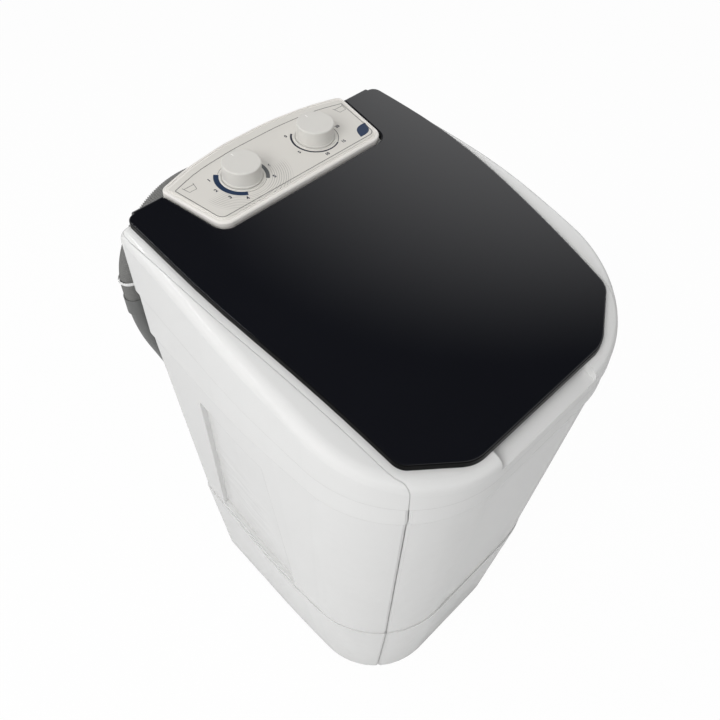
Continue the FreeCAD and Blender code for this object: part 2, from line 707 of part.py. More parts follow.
# Wash tub and drive
def make_tub():
    wall = s.tub_wall
    tub = turned("wash_tub_shell", [
        (s.housing_neck_radius + s.running_gap, s.tub_bottom), (s.tub_bottom_radius, s.tub_bottom),
        (s.tub_radius, s.tub_level - wall), (s.tub_radius + s.tub_flange, s.tub_level - wall),
        (s.tub_radius + s.tub_flange, s.tub_level), (s.tub_radius - wall, s.tub_level),
        (s.tub_bottom_radius - wall, s.tub_bottom + wall),
        (s.housing_neck_radius + s.running_gap, s.tub_bottom + wall)])
    del parts["wash_tub_shell"]
    hole = place(cylinder("tub_drain_hole", s.drain_hole_radius, 3 * wall),
                 -s.outlet_x, s.drain_y, s.tub_bottom - wall)
    keep("wash_tub", cut("wash_tub", tub, hole))


def make_pulsator():
    """Ribbed disc that stirs the wash, keyed on the drive shaft."""
    low = s.tub_bottom + s.pulsator_lift
    bore = s.shaft_radius + s.running_gap
    body = turned("pulsator", [
        (bore, low), (s.pulsator_radius, low), (s.pulsator_radius, low + s.pulsator_plate),
        (s.pulsator_radius * 0.4, low + s.pulsator_plate + 4), (s.cap_radius + 4, low + s.pulsator_height),
        (bore, low + s.pulsator_height)])
    half = s.vane_width / 2
    start = s.cap_radius + 2
    sketch = sketch_on(body, "XY_Plane", [
        (start, -half), (start + s.vane_length, -half * 0.5),
        (start + s.vane_length, half * 0.5), (start, half)])
    bind(sketch, AttachmentOffset_of_Base_of_z=low + s.pulsator_plate / 2)
    pad = body.newObject("PartDesign::Pad", "vane")
    pad.Profile = sketch
    bind(pad, Length=s.pulsator_plate / 2 + s.vane_height)
    doc.recompute()
    pattern = body.newObject("PartDesign::PolarPattern", "vanes")
    pattern.Originals = [pad]
    pattern.Axis = (sketch, ["N_Axis"])
    pattern.Angle = 360
    pattern.Occurrences = 6
    body.Tip = pattern
    cap_low = low + s.pulsator_height
    turned("pulsator_cap", [
        (0, cap_low), (s.cap_radius, cap_low), (s.cap_radius - 2, cap_low + s.cap_height * 0.6),
        (s.cap_radius * 0.5, cap_low + s.cap_height), (0, cap_low + s.cap_height)])


def make_bearing_unit():
    low, tub = s.housing_low, s.tub_bottom
    bore = s.bush_radius + s.running_gap
    turned("bearing_housing", [
        (bore, low), (s.housing_radius, low), (s.housing_radius, tub - s.housing_flange),
        (s.housing_flange_radius, tub - s.housing_flange), (s.housing_flange_radius, tub),
        (s.housing_neck_radius, tub), (s.housing_neck_radius, tub + s.housing_neck),
        (bore, tub + s.housing_neck)])
    inner = s.shaft_radius + s.running_gap
    upper = tub + s.housing_neck - s.seal_height - s.bush_length
    for label, z, height in (("lower_bush", low, s.bush_length), ("upper_bush", upper, s.bush_length),
                             ("shaft_seal", upper + s.bush_length, s.seal_height)):
        turned(label, [(inner, z), (s.bush_radius, z), (s.bush_radius, z + height), (inner, z + height)])
    top = tub + s.pulsator_lift + s.pulsator_height
    turned("drive_shaft", [
        (0, s.shaft_low), (s.shaft_radius, s.shaft_low), (s.shaft_radius, top), (0, top)])
    bolts = []
    ring = (s.housing_radius + s.housing_flange_radius) / 2
    for i in range(6):
        angle = math.radians(60 * i + 30)
        bolt = cylinder("housing_bolt_%d" % (i + 1), s.screw_radius, s.screw_head * 2)
        bolts.append(place(bolt, ring * math.cos(angle), ring * math.sin(angle),
                           tub - s.housing_flange - s.screw_head * 2))
    group("housing_bolts", bolts)


def pulley(label, radius, bore):
    """Grooved pulley about its own axis, its mid-plane at the belt level."""
    half = s.pulley_width / 2
    slot = s.belt_width / 2 + s.belt_gap
    root = radius - s.belt_thickness - s.belt_gap
    level = s.belt_level
    return turned(label, [
        (bore, level - half), (radius, level - half), (radius, level - slot - 1), (root, level - slot),
        (root, level + slot), (radius, level + slot + 1), (radius, level + half), (bore, level + half)])


def make_belt_drive():
    pulley("drive_pulley", s.pulley_radius, s.shaft_radius + s.running_gap)
    nut_low = s.belt_level - s.pulley_width / 2 - 7
    turned("pulley_nut", [
        (s.shaft_radius + s.running_gap, nut_low), (s.shaft_radius + 7, nut_low),
        (s.shaft_radius + 7, nut_low + 7), (s.shaft_radius + s.running_gap, nut_low + 7)])
    small = pulley("motor_pulley", s.motor_pulley_radius, s.motor_shaft_radius + s.running_gap)
    place(small, 0, s.belt_centres, 0)
    level = s.belt_level.value - s.belt_width.value / 2
    band = Part.Face(belt_wire(0.0, level)).extrude(Vector(0, 0, s.belt_width.value))
    room = Part.Face(belt_wire(s.belt_thickness.value, level)).extrude(Vector(0, 0, s.belt_width.value))
    feature("drive_belt", band.cut(room))


def belt_wire(depth, level):
    """Loop round both pulleys, at a depth under the belt's back."""
    big = s.pulley_radius.value - depth
    small = s.motor_pulley_radius.value - depth
    centres = s.belt_centres.value
    lean = math.asin((big - small) / centres)
    def spot(radius, y, angle):
        return Vector(radius * math.cos(angle), y + radius * math.sin(angle), level)
    right, left = lean, math.pi - lean
    edges = [
        Part.LineSegment(spot(big, 0, right), spot(small, centres, right)).toShape(),
        Part.Arc(spot(small, centres, right), spot(small, centres, math.pi / 2),
                 spot(small, centres, left)).toShape(),
        Part.LineSegment(spot(small, centres, left), spot(big, 0, left)).toShape(),
        Part.Arc(spot(big, 0, left), spot(big, 0, -math.pi / 2), spot(big, 0, right)).toShape()]
    return Part.Wire(edges)


def make_motor():
    top = s.motor_plate_level
    bore = s.motor_shaft_radius + s.running_gap
    shaft_top = s.belt_level + s.pulley_width / 2 + 2
    shaft_low = shaft_top - s.motor_shaft_length
    motor = turned("motor", [
        (0, s.motor_low), (s.motor_radius - 10, s.motor_low), (s.motor_radius, s.motor_low + 14),
        (s.motor_radius, top - 16), (s.motor_radius - 8, top), (s.motor_boss_radius, top),
        (s.motor_boss_radius, top + s.motor_boss), (bore, top + s.motor_boss), (bore, shaft_low - 1),
        (0, shaft_low - 1)])
    place(motor, 0, s.belt_centres, 0)
    shaft = turned("motor_shaft", [
        (0, shaft_low), (s.motor_shaft_radius, shaft_low), (s.motor_shaft_radius, shaft_top),
        (0, shaft_top)])
    place(shaft, 0, s.belt_centres, 0)
    sheet_metal = place(box("motor_plate_blank", s.motor_plate_width, s.motor_plate_depth, s.motor_plate),
                        -s.motor_plate_width / 2, s.belt_centres - s.motor_plate_depth / 2, top)
    hole = place(cylinder("motor_plate_hole", s.motor_boss_radius + s.running_gap, 3 * s.motor_plate),
                 0, s.belt_centres, top - s.motor_plate)
    keep("motor_plate", cut("motor_plate", sheet_metal, hole))
    dx = s.motor_plate_width / 2 - s.post_inset
    dy = s.motor_plate_depth / 2 - s.post_inset
    screws = []
    for i, (x, y) in enumerate(((-dx, -dy), (-dx, dy), (dx, -dy), (dx, dy))):
        screw = cylinder("motor_screw_%d" % (i + 1), s.screw_radius, s.screw_head)
        screws.append(place(screw, x, s.belt_centres + y, top + s.motor_plate))
    group("motor_screws", screws)


def make_capacitor():
    low = s.foot_height + s.base_floor
    can = turned("capacitor", [
        (0, low), (s.capacitor_radius, low), (s.capacitor_radius, low + s.capacitor_height),
        (s.capacitor_radius * 0.3, low + s.capacitor_height),
        (s.capacitor_radius * 0.3, low + s.capacitor_height + 8), (0, low + s.capacitor_height + 8)])
    place(can, s.capacitor_x, s.capacitor_y, 0)
    inner = s.capacitor_radius + s.running_gap
    clip = turned("capacitor_clip", [
        (inner, low), (inner + 14, low), (inner + 14, low + 3), (inner + 3, low + 3),
        (inner + 3, low + 24), (inner, low + 24)])
    place(clip, s.capacitor_x, s.capacitor_y, 0)


# Back of the machine
def upright_disc(name, radius, depth, x, z):
    """Cylinder along +Y that starts on the back panel's outer face."""
    disc = cylinder(name, radius, depth)
    disc.Placement = Placement(Vector(0, 0, 0), Rotation(Vector(1, 0, 0), -90))
    return place(disc, x, s.cabinet_back, z)


def make_back_panel():
    gap = s.panel_gap
    half = s.back_panel_half_width - gap
    low = s.foot_height
    sheet_metal = place(box("back_panel_blank", 2 * half, s.wall, s.back_panel_top - low),
                        -half, s.cabinet_back - s.wall, low)
    holes = []
    for name, radius, x, z in (("outlet_hole", s.pipe_radius + gap, -s.outlet_x, s.outlet_level),
                               ("gland_hole", s.gland_radius + s.running_gap, s.gland_x, s.gland_level)):
        hole = cylinder(name, radius, 4 * s.wall)
        hole.Placement = Placement(Vector(0, 0, 0), Rotation(Vector(1, 0, 0), -90))
        holes.append(place(hole, x, s.cabinet_back - 3 * s.wall, z))
    keep("back_panel", cut("back_panel", sheet_metal, fuse("back_panel_holes", holes)))
    screws = []
    inset = s.back_panel_half_width - 12
    span = s.back_panel_top - s.foot_height - 40
    for i in range(4):
        for side, x in (("left", -inset), ("right", inset)):
            z = s.foot_height + 20 + span * (i / 3.0)
            label = "%s_panel_screw_%d" % (side, i + 1)
            screws.append(upright_disc(label, s.screw_radius, s.screw_head, x, z))
    group("back_panel_screws", screws)
    gland = turned("cord_gland", [
        (s.gland_bore_radius, -4 * s.wall), (s.gland_radius, -4 * s.wall), (s.gland_radius, 0),
        (s.gland_radius + 6, 0), (s.gland_radius + 6, 3), (s.gland_radius, 12), (s.gland_bore_radius, 12)])
    gland.Placement = Placement(Vector(0, 0, 0), Rotation(Vector(1, 0, 0), -90))
    place(gland, s.gland_x, s.cabinet_back, s.gland_level)


def path_wire(points):
    """Straight runs joined by tangent arcs; points are a place and a bend radius."""
    edges = []
    start = points[0][0]
    for i in range(1, len(points) - 1):
        corner, radius = points[i]
        before = points[i - 1][0] - corner
        after = points[i + 1][0] - corner
        before.normalize()
        after.normalize()
        half = before.getAngle(after) / 2
        reach = radius / math.tan(half)
        middle = before + after
        middle.normalize()
        first, last = corner + before * reach, corner + after * reach
        if (first - start).Length > 1e-6:
            edges.append(Part.LineSegment(start, first).toShape())
        edges.append(Part.Arc(first, corner + middle * (radius / math.sin(half) - radius), last).toShape())
        start = last
    if (points[-1][0] - start).Length > 1e-6:
        edges.append(Part.LineSegment(start, points[-1][0]).toShape())
    return Part.Wire(edges)


def tube(path, radius, wall):
    """Open-ended pipe along a path."""
    start = path.Edges[0].valueAt(path.Edges[0].FirstParameter)
    along = path.Edges[0].tangentAt(path.Edges[0].FirstParameter)
    solids = []
    for r in (radius, radius - wall):
        ring = Part.Wire([Part.Circle(start, along, r).toShape()])
        solids.append(path.makePipeShell([ring], True, True))
    print("pipe of radius %.1f: volume %.0f, section times length %.0f" % (
        radius, solids[0].Volume - solids[1].Volume,
        math.pi * (radius ** 2 - (radius - wall) ** 2) * path.Length))
    return solids[0].cut(solids[1])


def make_drain():
    """Rigid drain: from the tub floor to the back, an outlet bend, and the pipe up to the hose."""
    radius, wall = s.pipe_radius.value, s.pipe_wall.value
    x, y, z = -s.outlet_x.value, s.hose_plane.value, s.outlet_level.value
    back = s.cabinet_back.value
    bend = s.outlet_bend_radius.value
    tub_under = s.tub_bottom.value
    inside = path_wire([(Vector(x, s.drain_y.value, tub_under), 0), (Vector(x, s.drain_y.value, z), bend),
                        (Vector(x, back, z), 0)])
    feature("drain_elbow", tube(inside, radius, wall))
    foot = s.pipe_foot_level.value
    outside = path_wire([(Vector(x, back, z), 0), (Vector(x, y, z), bend * 0.95), (Vector(x, y, foot), 0)])
    collar = Part.makeCylinder(radius + 6, 4, Vector(x, back, z), Vector(0, 1, 0))
    collar = collar.cut(Part.makeCylinder(radius - 1, 4, Vector(x, back, z), Vector(0, 1, 0)))
    feature("drain_outlet", tube(outside, radius, wall).fuse(collar).removeSplitter())
    top = s.joint_level.value
    lean = math.radians(s.pipe_lean.value)
    upper = top - s.pipe_bend_radius.value * math.tan(lean / 2)
    lower = upper - (s.hose_x.value - s.outlet_x.value) / math.tan(lean)
    up = path_wire([(Vector(x, y, foot), 0), (Vector(x, y, lower), s.pipe_foot_radius.value),
                    (Vector(-s.hose_x.value, y, upper), s.pipe_bend_radius.value),
                    (Vector(-s.hose_x.value, y, top), 0)])
    feature("drain_pipe", tube(up, radius, wall))


def hose_path():
    """Up from the joint, over the arch and down to the free end, as a formula of the length run."""
    left, level = -s.hose_x.value, s.arch_level.value
    radius = s.arch_radius.value
    rise = level - s.joint_level.value
    turn = math.pi * radius
    fall = level - s.hose_end_level.value
    y = s.hose_plane.value

    def at(run):
        if run < rise:
            return Vector(left, y, s.joint_level.value + run), Vector(0, 0, 1)
        if run < rise + turn:
            angle = (run - rise) / radius
            place_on = Vector(left + radius - radius * math.cos(angle), y, level + radius * math.sin(angle))
            return place_on, Vector(math.sin(angle), 0, math.cos(angle))
        return Vector(left + 2 * radius, y, level - (run - rise - turn)), Vector(0, 0, -1)
    wire = Part.Wire([
        Part.LineSegment(at(0)[0], at(rise)[0]).toShape(),
        Part.Arc(at(rise)[0], at(rise + turn / 2)[0], at(rise + turn)[0]).toShape(),
        Part.LineSegment(at(rise + turn)[0], at(rise + turn + fall)[0]).toShape()])
    return at, rise + turn + fall, wire


def ring_at(place_on, along, radius):
    circle = Part.Circle(place_on, along, radius)
    circle.XAxis = Vector(0, 1, 0)
    return Part.Wire([circle.toShape()])


def make_hose():
    """Ribbed drain hose with its bore: four circles a rib, on a steady X axis."""
    at, length, wire = hose_path()
    pitch = s.rib_pitch.value
    ribs = int(length / pitch)
    pitch = length / ribs
    root, crest, bore = s.hose_root_radius.value, s.hose_radius.value, s.hose_bore_radius.value
    rings = []
    for i in range(ribs):
        for part_of, radius in ((0.0, root), (0.25, crest), (0.55, crest), (0.8, root)):
            rings.append(ring_at(*at((i + part_of) * pitch), radius))
    rings.append(ring_at(*at(length), root))
    outside = Part.makeLoft(rings, False, True)
    inside = wire.makePipeShell([ring_at(*at(0), bore)], False, False)
    ends = [Part.makeFace([ring_at(*at(run), root), ring_at(*at(run), bore)], "Part::FaceMakerBullseye")
            for run in (0, length)]
    skin = Part.makeCompound(outside.Faces + inside.Faces + ends)
    skin.sewShape()
    solid = Part.makeSolid(skin.Shells[0] if skin.Shells else Part.makeShell(skin.Faces))
    if solid.Volume < 0:
        solid.reverse()
    print("hose: %d ribs, length %.0f, volume %.0f" % (ribs, length, solid.Volume))
    feature("drain_hose", solid)


def hose_ring(label, x, level, height, inner, arm_low_x, arm_high_x):
    """Ring round the hose with an arm to the back of the cabinet."""
    wall = s.clip_wall
    outer = place(cylinder(label + "_ring", inner + wall, height), x, s.hose_plane, level)
    hole = place(cylinder(label + "_hole", inner, 3 * height), x, s.hose_plane, level - height)
    arm = place(box(label + "_arm", arm_high_x - arm_low_x, s.hose_plane - s.cabinet_back, height),
                arm_low_x, s.cabinet_back, level)
    keep(label, cut(label, fuse(label + "_blank", [outer, arm]), hole))


def make_hose_fittings():
    cuff_low = s.joint_level - s.cuff_length / 2
    cuff_top = s.joint_level + s.cuff_length / 2
    inner = s.hose_radius + s.panel_gap / 2
    cuff = turned("hose_cuff", [
        (inner, cuff_low), (s.cuff_radius, cuff_low), (s.cuff_radius, cuff_top), (inner, cuff_top)])
    place(cuff, -s.hose_x, s.hose_plane, 0)
    ring = s.hose_radius + s.panel_gap
    hose_ring("hose_clip", -s.hose_x, s.clip_level, s.clip_height, s.hose_radius + s.clip_gap,
              s.clip_arm_width - s.hose_x - 2, 2 * s.clip_arm_width - s.hose_x - 2)
    right = 2 * s.arch_radius - s.hose_x
    hose_ring("hose_holder", right, s.hose_end_level + 12, s.clip_height, ring,
              right - s.clip_arm_width / 2, right + s.clip_arm_width / 2)


def make_feet():
    feet = []
    front = s.floor_front - 70
    back = s.cabinet_back - 50
    for name, x, y in (("front_left_foot", -0.62 * s.floor_half_width, -front),
                       ("front_right_foot", 0.62 * s.floor_half_width, -front),
                       ("back_left_foot", -0.74 * s.floor_half_width, back),
                       ("back_right_foot", 0.74 * s.floor_half_width, back)):
        foot = doc.addObject("Part::Cone", name)
        bind(foot, Radius1=s.foot_foot_radius, Radius2=s.foot_radius, Height=s.foot_height)
        feet.append(place(foot, x, y, 0))
    group("feet", feet)


make_cabinet()
make_base()
make_collar()
make_lid()
make_console()
make_knob("program_knob", "program_switch", -s.knob_spacing / 2)
make_knob("timer_knob", "timer_switch", s.knob_spacing / 2)
make_hinge_pins()
make_tub()
make_pulsator()
make_bearing_unit()
make_belt_drive()
make_motor()
make_capacitor()
make_back_panel()
make_drain()
make_hose()
make_hose_fittings()
make_feet()
doc.recompute()

for item in doc.Objects:
    if "Invalid" in item.State or "Error" in item.State:
        raise RuntimeError("%s failed: %s" % (item.Label, item.State))
os.makedirs("parts", exist_ok=True)
for label, item in parts.items():
    if item.Shape.isNull() or not item.Shape.isValid() or item.Shape.Volume <= 0:
        raise RuntimeError("%s has no sound shape" % label)
for label, item in parts.items():
    shape = item.Shape.translated(Vector(0, -s.box_middle.value, 0))
    shape.exportStep("parts/%s.step" % label)
    print("%-18s solids %d volume %.0f" % (label, len(shape.Solids), shape.Volume))
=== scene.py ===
"""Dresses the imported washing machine: moulded finishes, a rounded lid, the console with its printed
sheet and knobs, the ribbed drain hose, and the studio it stands in. Metres, +Z up, front towards -Y."""
import json
import math

import bmesh
import bpy
from mathutils import Matrix, Vector


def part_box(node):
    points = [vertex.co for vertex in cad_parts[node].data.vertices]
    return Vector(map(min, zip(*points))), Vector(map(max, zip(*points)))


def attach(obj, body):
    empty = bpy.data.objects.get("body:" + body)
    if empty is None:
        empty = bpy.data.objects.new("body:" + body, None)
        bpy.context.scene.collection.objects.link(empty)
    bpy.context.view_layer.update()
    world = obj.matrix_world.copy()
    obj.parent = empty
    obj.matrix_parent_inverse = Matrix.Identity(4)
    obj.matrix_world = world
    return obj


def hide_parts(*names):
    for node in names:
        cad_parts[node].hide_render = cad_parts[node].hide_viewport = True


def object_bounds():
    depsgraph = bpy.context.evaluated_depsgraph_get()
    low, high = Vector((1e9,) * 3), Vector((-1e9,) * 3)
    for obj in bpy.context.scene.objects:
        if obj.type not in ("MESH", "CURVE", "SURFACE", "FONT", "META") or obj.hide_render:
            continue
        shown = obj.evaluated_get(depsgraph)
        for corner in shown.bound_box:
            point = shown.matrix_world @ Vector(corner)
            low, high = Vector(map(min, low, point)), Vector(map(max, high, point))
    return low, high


bl_info = {
    "name": "Washing machine dressing",
    "version": (1, 0, 0),
    "blender": (4, 5, 0),
    "location": "View3D > Sidebar > Washer",
    "description": "Builds the finished pieces of a top-loading washing machine over its packed frame",
    "category": "Object",
}

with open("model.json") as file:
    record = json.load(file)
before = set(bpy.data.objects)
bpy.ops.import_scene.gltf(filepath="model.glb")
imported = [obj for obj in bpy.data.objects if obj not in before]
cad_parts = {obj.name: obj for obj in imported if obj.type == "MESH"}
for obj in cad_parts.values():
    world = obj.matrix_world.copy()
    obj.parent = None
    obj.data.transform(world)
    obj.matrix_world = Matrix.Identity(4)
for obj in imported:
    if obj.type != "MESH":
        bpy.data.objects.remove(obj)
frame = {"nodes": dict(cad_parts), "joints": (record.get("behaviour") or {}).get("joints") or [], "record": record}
CAD_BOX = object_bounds()
JOINTS = {joint["name"]: joint for joint in frame["joints"]}
TUB_AXIS = Vector(JOINTS["pulsator_spin"]["pos_m"]) * Vector((1, 1, 0))
MM = 0.001
SHARP_ANGLE = math.radians(35)


def linear(hex_colour):
    """An sRGB hex colour as linear red, green, blue and alpha."""
    parts = [int(hex_colour[i:i + 2], 16) / 255 for i in (1, 3, 5)]
    return tuple(c / 12.92 if c <= 0.04045 else ((c + 0.055) / 1.055) ** 2.4 for c in parts) + (1.0,)


def length(name, description, default_mm):
    """A size kept in metres, given in millimetres."""
    return bpy.props.FloatProperty(name=name, description=description, default=default_mm * MM,
                                   unit="LENGTH", precision=5)


def colour(name, description, hex_colour):
    """A colour kept linear, given as sRGB hex."""
    return bpy.props.FloatVectorProperty(name=name, description=description, subtype="COLOR", size=4,
                                         min=0.0, max=1.0, default=linear(hex_colour))


class WasherLidSizes(bpy.types.PropertyGroup):
    """Plan, edge and hinge barrels of the lid, measured from the tub axis and the floor."""
    nose_half_width: length("Nose half width", "Half of the straight front edge", 133)
    corner_half_width: length("Corner half width",
                              "Half width where the sides meet the front chamfers", 213)
    corner: length("Corner", "How far in front of the tub axis the chamfers start", 211)
    half_width: length("Half width", "Half width at the widest place", 241)
    widest: length("Widest", "How far behind the tub axis the lid is widest", 90)
    back_half_width: length("Back half width", "Half width at the hinge", 235)
    nose_radius: length("Nose radius", "Rounding of the corners at the front edge", 60)
    corner_radius: length("Corner radius", "Rounding where the chamfers meet the sides", 24)
    side_radius: length("Side radius", "Bend of the sides at the widest place", 1200)
    arm_radius: length("Arm radius", "Rounding between the rear edge and the console's notch", 2)
    gap: length("Gap", "Gap between the lid and the console", 2.5)
    rear_radius: length("Rear radius", "Rounding of the rear corners", 14)
    back: length("Back", "The hinge axis behind the tub axis", 268)
    back_height: length("Back height", "Height of the top over the hinge axis", 919.5)
    mid_height: length("Middle height", "Height of the top over the tub axis", 881)
    front: length("Front", "The front edge before the tub axis", 263)
    front_height: length("Front height", "Height of the top at the front edge", 798.5)
    thickness: length("Thickness", "Height of the lid's edge", 10.5)
    wall: length("Wall", "Thickness of the moulding", 3)
    edge_radius: length("Edge radius", "Rounding along the top edge", 2.6)
    barrel_radius: length("Barrel radius", "Radius of the hinge barrels", 8)
    barrel_reach: length("Barrel reach", "How far before the hinge axis the barrels start", 12)
    barrel_sink: length("Barrel sink", "How far the barrels lie under the lid's top", 0.05)
    barrel_end: length("Barrel end", "Length of the tapered ends of the barrels", 1)
    strip: length("Strip", "Width of the strips that the dome is bent in", 9)


class WasherConsoleSizes(bpy.types.PropertyGroup):
    """Plan of the console about its own middle, its printed sheet and the rings round the knobs."""
    half_width: length("Half width", "Half of the front edge", 151.5)
    front: length("Front", "Front edge before the middle", 61.5)
    rear_half_width: length("Rear half width", "Half width at the rear corners", 170.5)
    rear: length("Rear", "Rear corners behind the middle", 52)
    bulge: length("Bulge", "How far the rear edge bows out", 25)
    corner_radius: length("Corner radius", "Rounding of the front corners", 22)
    lip: length("Lip", "Height of the lip", 14)
    depth: length("Depth", "Depth of the housing under its top", 55)
    inset: length("Inset", "How far the housing is inside its lip", 6)
    edge_radius: length("Edge radius", "Rounding along the lip's top edge", 3)
    foot_chamfer: length("Foot chamfer", "Chamfer round the foot of the housing", 2)
    groove: length("Groove", "Depth of the groove round the sheet", 0.9)
    groove_inset: length("Groove inset", "Groove's outer edge inside the console's", 4.8)
    groove_width: length("Groove width", "Width of the groove at its top", 1.6)
    groove_slope: length("Groove slope", "Width of the groove's slanting sides", 0.2)
    top_inset: length("Top inset", "Inner edge of the border, under the sheet", 9)
    sheet_radius: length("Sheet radius", "Rounding along the sheet's edge", 0.4)
    sheet_inset: length("Sheet inset", "Printed sheet's edge inside the console's", 8.2)
    sheet: length("Sheet", "Thickness of the printed sheet", 1.2)
    ink: length("Ink", "Thickness of the print", 0.12)
    collar_inner: length("Collar inner", "Inner radius of the ring round a knob", 29.3)
    collar_outer: length("Collar outer", "Outer radius of the ring round a knob", 31.6)
    collar_height: length("Collar height", "Height of the ring over the sheet", 1.3)
    collar_sink: length("Collar sink", "Depth of the ring in the sheet", 0.2)
    collar_edge: length("Collar edge", "Chamfer of the ring's top edges", 0.4)


class WasherKnobSizes(bpy.types.PropertyGroup):
    """Profile of a knob over the console's top, and its pointer mark."""
    radius: length("Radius", "Radius at the foot", 28.5)
    top_radius: length("Top radius", "Radius at the top", 27.5)
    height: length("Height", "Top of the knob over the console", 26.97)
    lift: length("Lift", "Gap under the knob", 1.8)
    foot_edge: length("Foot edge", "Chamfer under the foot ring, and height of the slope over it", 0.6)
    ring_height: length("Ring height", "Height of the foot ring's wall", 2.4)
    ring_edge: length("Ring edge", "Chamfer of the foot ring's top edge", 0.4)
    ring_step: length("Ring step", "How far the foot ring stands out", 1)
    edge_radius: length("Edge radius", "Rounding along the top edge", 2.2)
    dish_rim: length("Dish rim", "Width of the rim round the dished top", 6)
    dish_slope: length("Dish slope", "Width of the slope into the dished top", 0.4)
    dish_depth: length("Dish depth", "Depth of the dished top", 0.15)
    pointer_start: length("Pointer start", "Inner end of the pointer from the axis", 16.5)
    pointer_end: length("Pointer end", "Outer end of the pointer from the axis", 25)
    pointer_width: length("Pointer width", "Width of the pointer", 1.3)
    pointer_root: length("Pointer root", "Foot of the pointer under the knob's top", 0.3)
    pointer_sink: length("Pointer sink", "Face of the pointer under the knob's top", 0.02)


class WasherHoseSizes(bpy.types.PropertyGroup):
    """Route and ribs of the drain hose, and the strap that ties it."""
    crest_radius: length("Crest radius", "Radius over the ribs", 16)
    root_radius: length("Root radius", "Radius between the ribs", 14.4)
    wall: length("Wall", "Thickness of the hose wall", 1.9)
    pitch: length("Pitch", "Spacing of the ribs", 3.2)
    plane: length("Plane", "How far behind the tub axis the hose lies", 318)
    left: length("Left", "How far left of the tub axis the hose rises", 230)
    arch_radius: length("Arch radius", "Radius of the arch", 125)
    arch_level: length("Arch level", "Height of the arch's centre", 761)
    joint_level: length("Joint level", "Height where the hose meets the pipe", 729)
    end_level: length("End level", "Height of the end in the holder", 683)
    strap_height: length("Strap height", "Height of the strap round the hose", 5)
    strap_thickness: length("Strap thickness", "Thickness of the strap", 1.6)
    strap_tail: length("Strap tail", "Thickness of the strap's tail", 8)
    strap_gap: length("Strap gap", "Gap between the strap and the ribs", 0.1)
    strap_edge: length("Strap edge", "Chamfer of the strap's outer edges", 0.5)
    tail_radius: length("Tail radius", "Rounding of the tail's upright edges", 0.3)
    lug: length("Lug", "Thickness of the lug at the tail's end", 2)


class WasherBackSizes(bpy.types.PropertyGroup):
    """What is fastened to the back panel."""
    screw_radius: length("Screw radius", "Radius of a screw's head", 4.5)


class WasherColours(bpy.types.PropertyGroup):
    """Colours of the mouldings and of the print."""
    cabinet: colour("Cabinet", "White of the cabinet", "#E7E7E6")
    lid: colour("Lid", "Black of the lid", "#14151A")
    console: colour("Console", "Warm white of the console's housing", "#ECE9E4")
    film: colour("Film", "Warm grey of the printed sheet", "#DDDAD4")
    knob: colour("Knob", "White of the knobs", "#DBD9D4")
    hose: colour("Hose", "Grey of the hose", "#777775")
    blue: colour("Blue", "Blue of the print", "#0C2A4C")
    navy: colour("Navy", "Dark blue of the print", "#10162E")
    grey: colour("Grey", "Grey of the print", "#5C5F61")
    line: colour("Line", "Grey of the thin printed lines", "#6E6D6B")


# Materials
def add_node(tree, kind, inputs=None, **settings):
    """Add a node with its settings, and set or link its inputs."""
    made = tree.nodes.new(kind)
    for name, value in settings.items():
        setattr(made, name, value)
    for name, value in (inputs or {}).items():
        if isinstance(value, bpy.types.NodeSocket):
            tree.links.new(value, made.inputs[name])
        else:
            made.inputs[name].default_value = value
    return made


def new_material(name, base, roughness, ior=1.5, metallic=0.0):
    """A material with its shader's constants set, ready for patterns."""
    material = bpy.data.materials.new(name)
    material.use_nodes = True
    shader = material.node_tree.nodes["Principled BSDF"]
    shader.inputs["Base Color"].default_value = base
    shader.inputs["Roughness"].default_value = roughness
    shader.inputs["Metallic"].default_value = metallic
    if not metallic:
        shader.inputs["IOR"].default_value = ior
    return material, material.node_tree, shader


def mottled(tree, shader, base, spread, grain_mm, roughness, rough_spread):
    """Slight drift of colour and gloss over a grain, as moulded and cast surfaces have."""
    coords = add_node(tree, "ShaderNodeTexCoord")
    noise = add_node(tree, "ShaderNodeTexNoise", {"Vector": coords.outputs["Object"],
                                                  "Scale": 1 / (grain_mm * MM), "Detail": 3.0})
    dark = tuple(c * (1 - spread) for c in base[:3]) + (1.0,)
    tint = add_node(tree, "ShaderNodeMix", {0: noise.outputs["Fac"], 6: dark, 7: base}, data_type="RGBA")
    gloss = add_node(tree, "ShaderNodeMapRange", {0: noise.outputs["Fac"], 3: roughness - rough_spread,
                                                  4: roughness + rough_spread})
    tree.links.new(tint.outputs[2], shader.inputs["Base Color"])
    tree.links.new(gloss.outputs[0], shader.inputs["Roughness"])
    return coords


def grain_bump(tree, shader, coords, grain_mm, depth_mm, edge_mm=0.0):
    """Fine relief of a grain this wide and deep, over edges that catch the light as if rounded."""
    grain = add_node(tree, "ShaderNodeTexNoise", {"Vector": coords.outputs["Object"],
                                                  "Scale": 1 / (grain_mm * MM), "Detail": 2.0})
    bump = add_node(tree, "ShaderNodeBump", {"Height": grain.outputs["Fac"], "Distance": depth_mm * MM})
    if edge_mm:
        edge = add_node(tree, "ShaderNodeBevel", {"Radius": edge_mm * MM}, samples=6)
        tree.links.new(edge.outputs["Normal"], bump.inputs["Normal"])
    tree.links.new(bump.outputs["Normal"], shader.inputs["Normal"])


def moulded(name, base, roughness, grain_mm=6.0, depth_mm=0.02, edge_mm=0.0, specular=0.5):
    """Injection-moulded plastic: an even colour with a faint ripple of the tool's polish."""
    material, tree, shader = new_material(name, base, roughness)
    shader.inputs["Specular IOR Level"].default_value = specular
    coords = mottled(tree, shader, base, spread=0.02, grain_mm=90.0, roughness=roughness,
                     rough_spread=roughness / 10)
    grain_bump(tree, shader, coords, grain_mm, depth_mm, edge_mm)
    return material


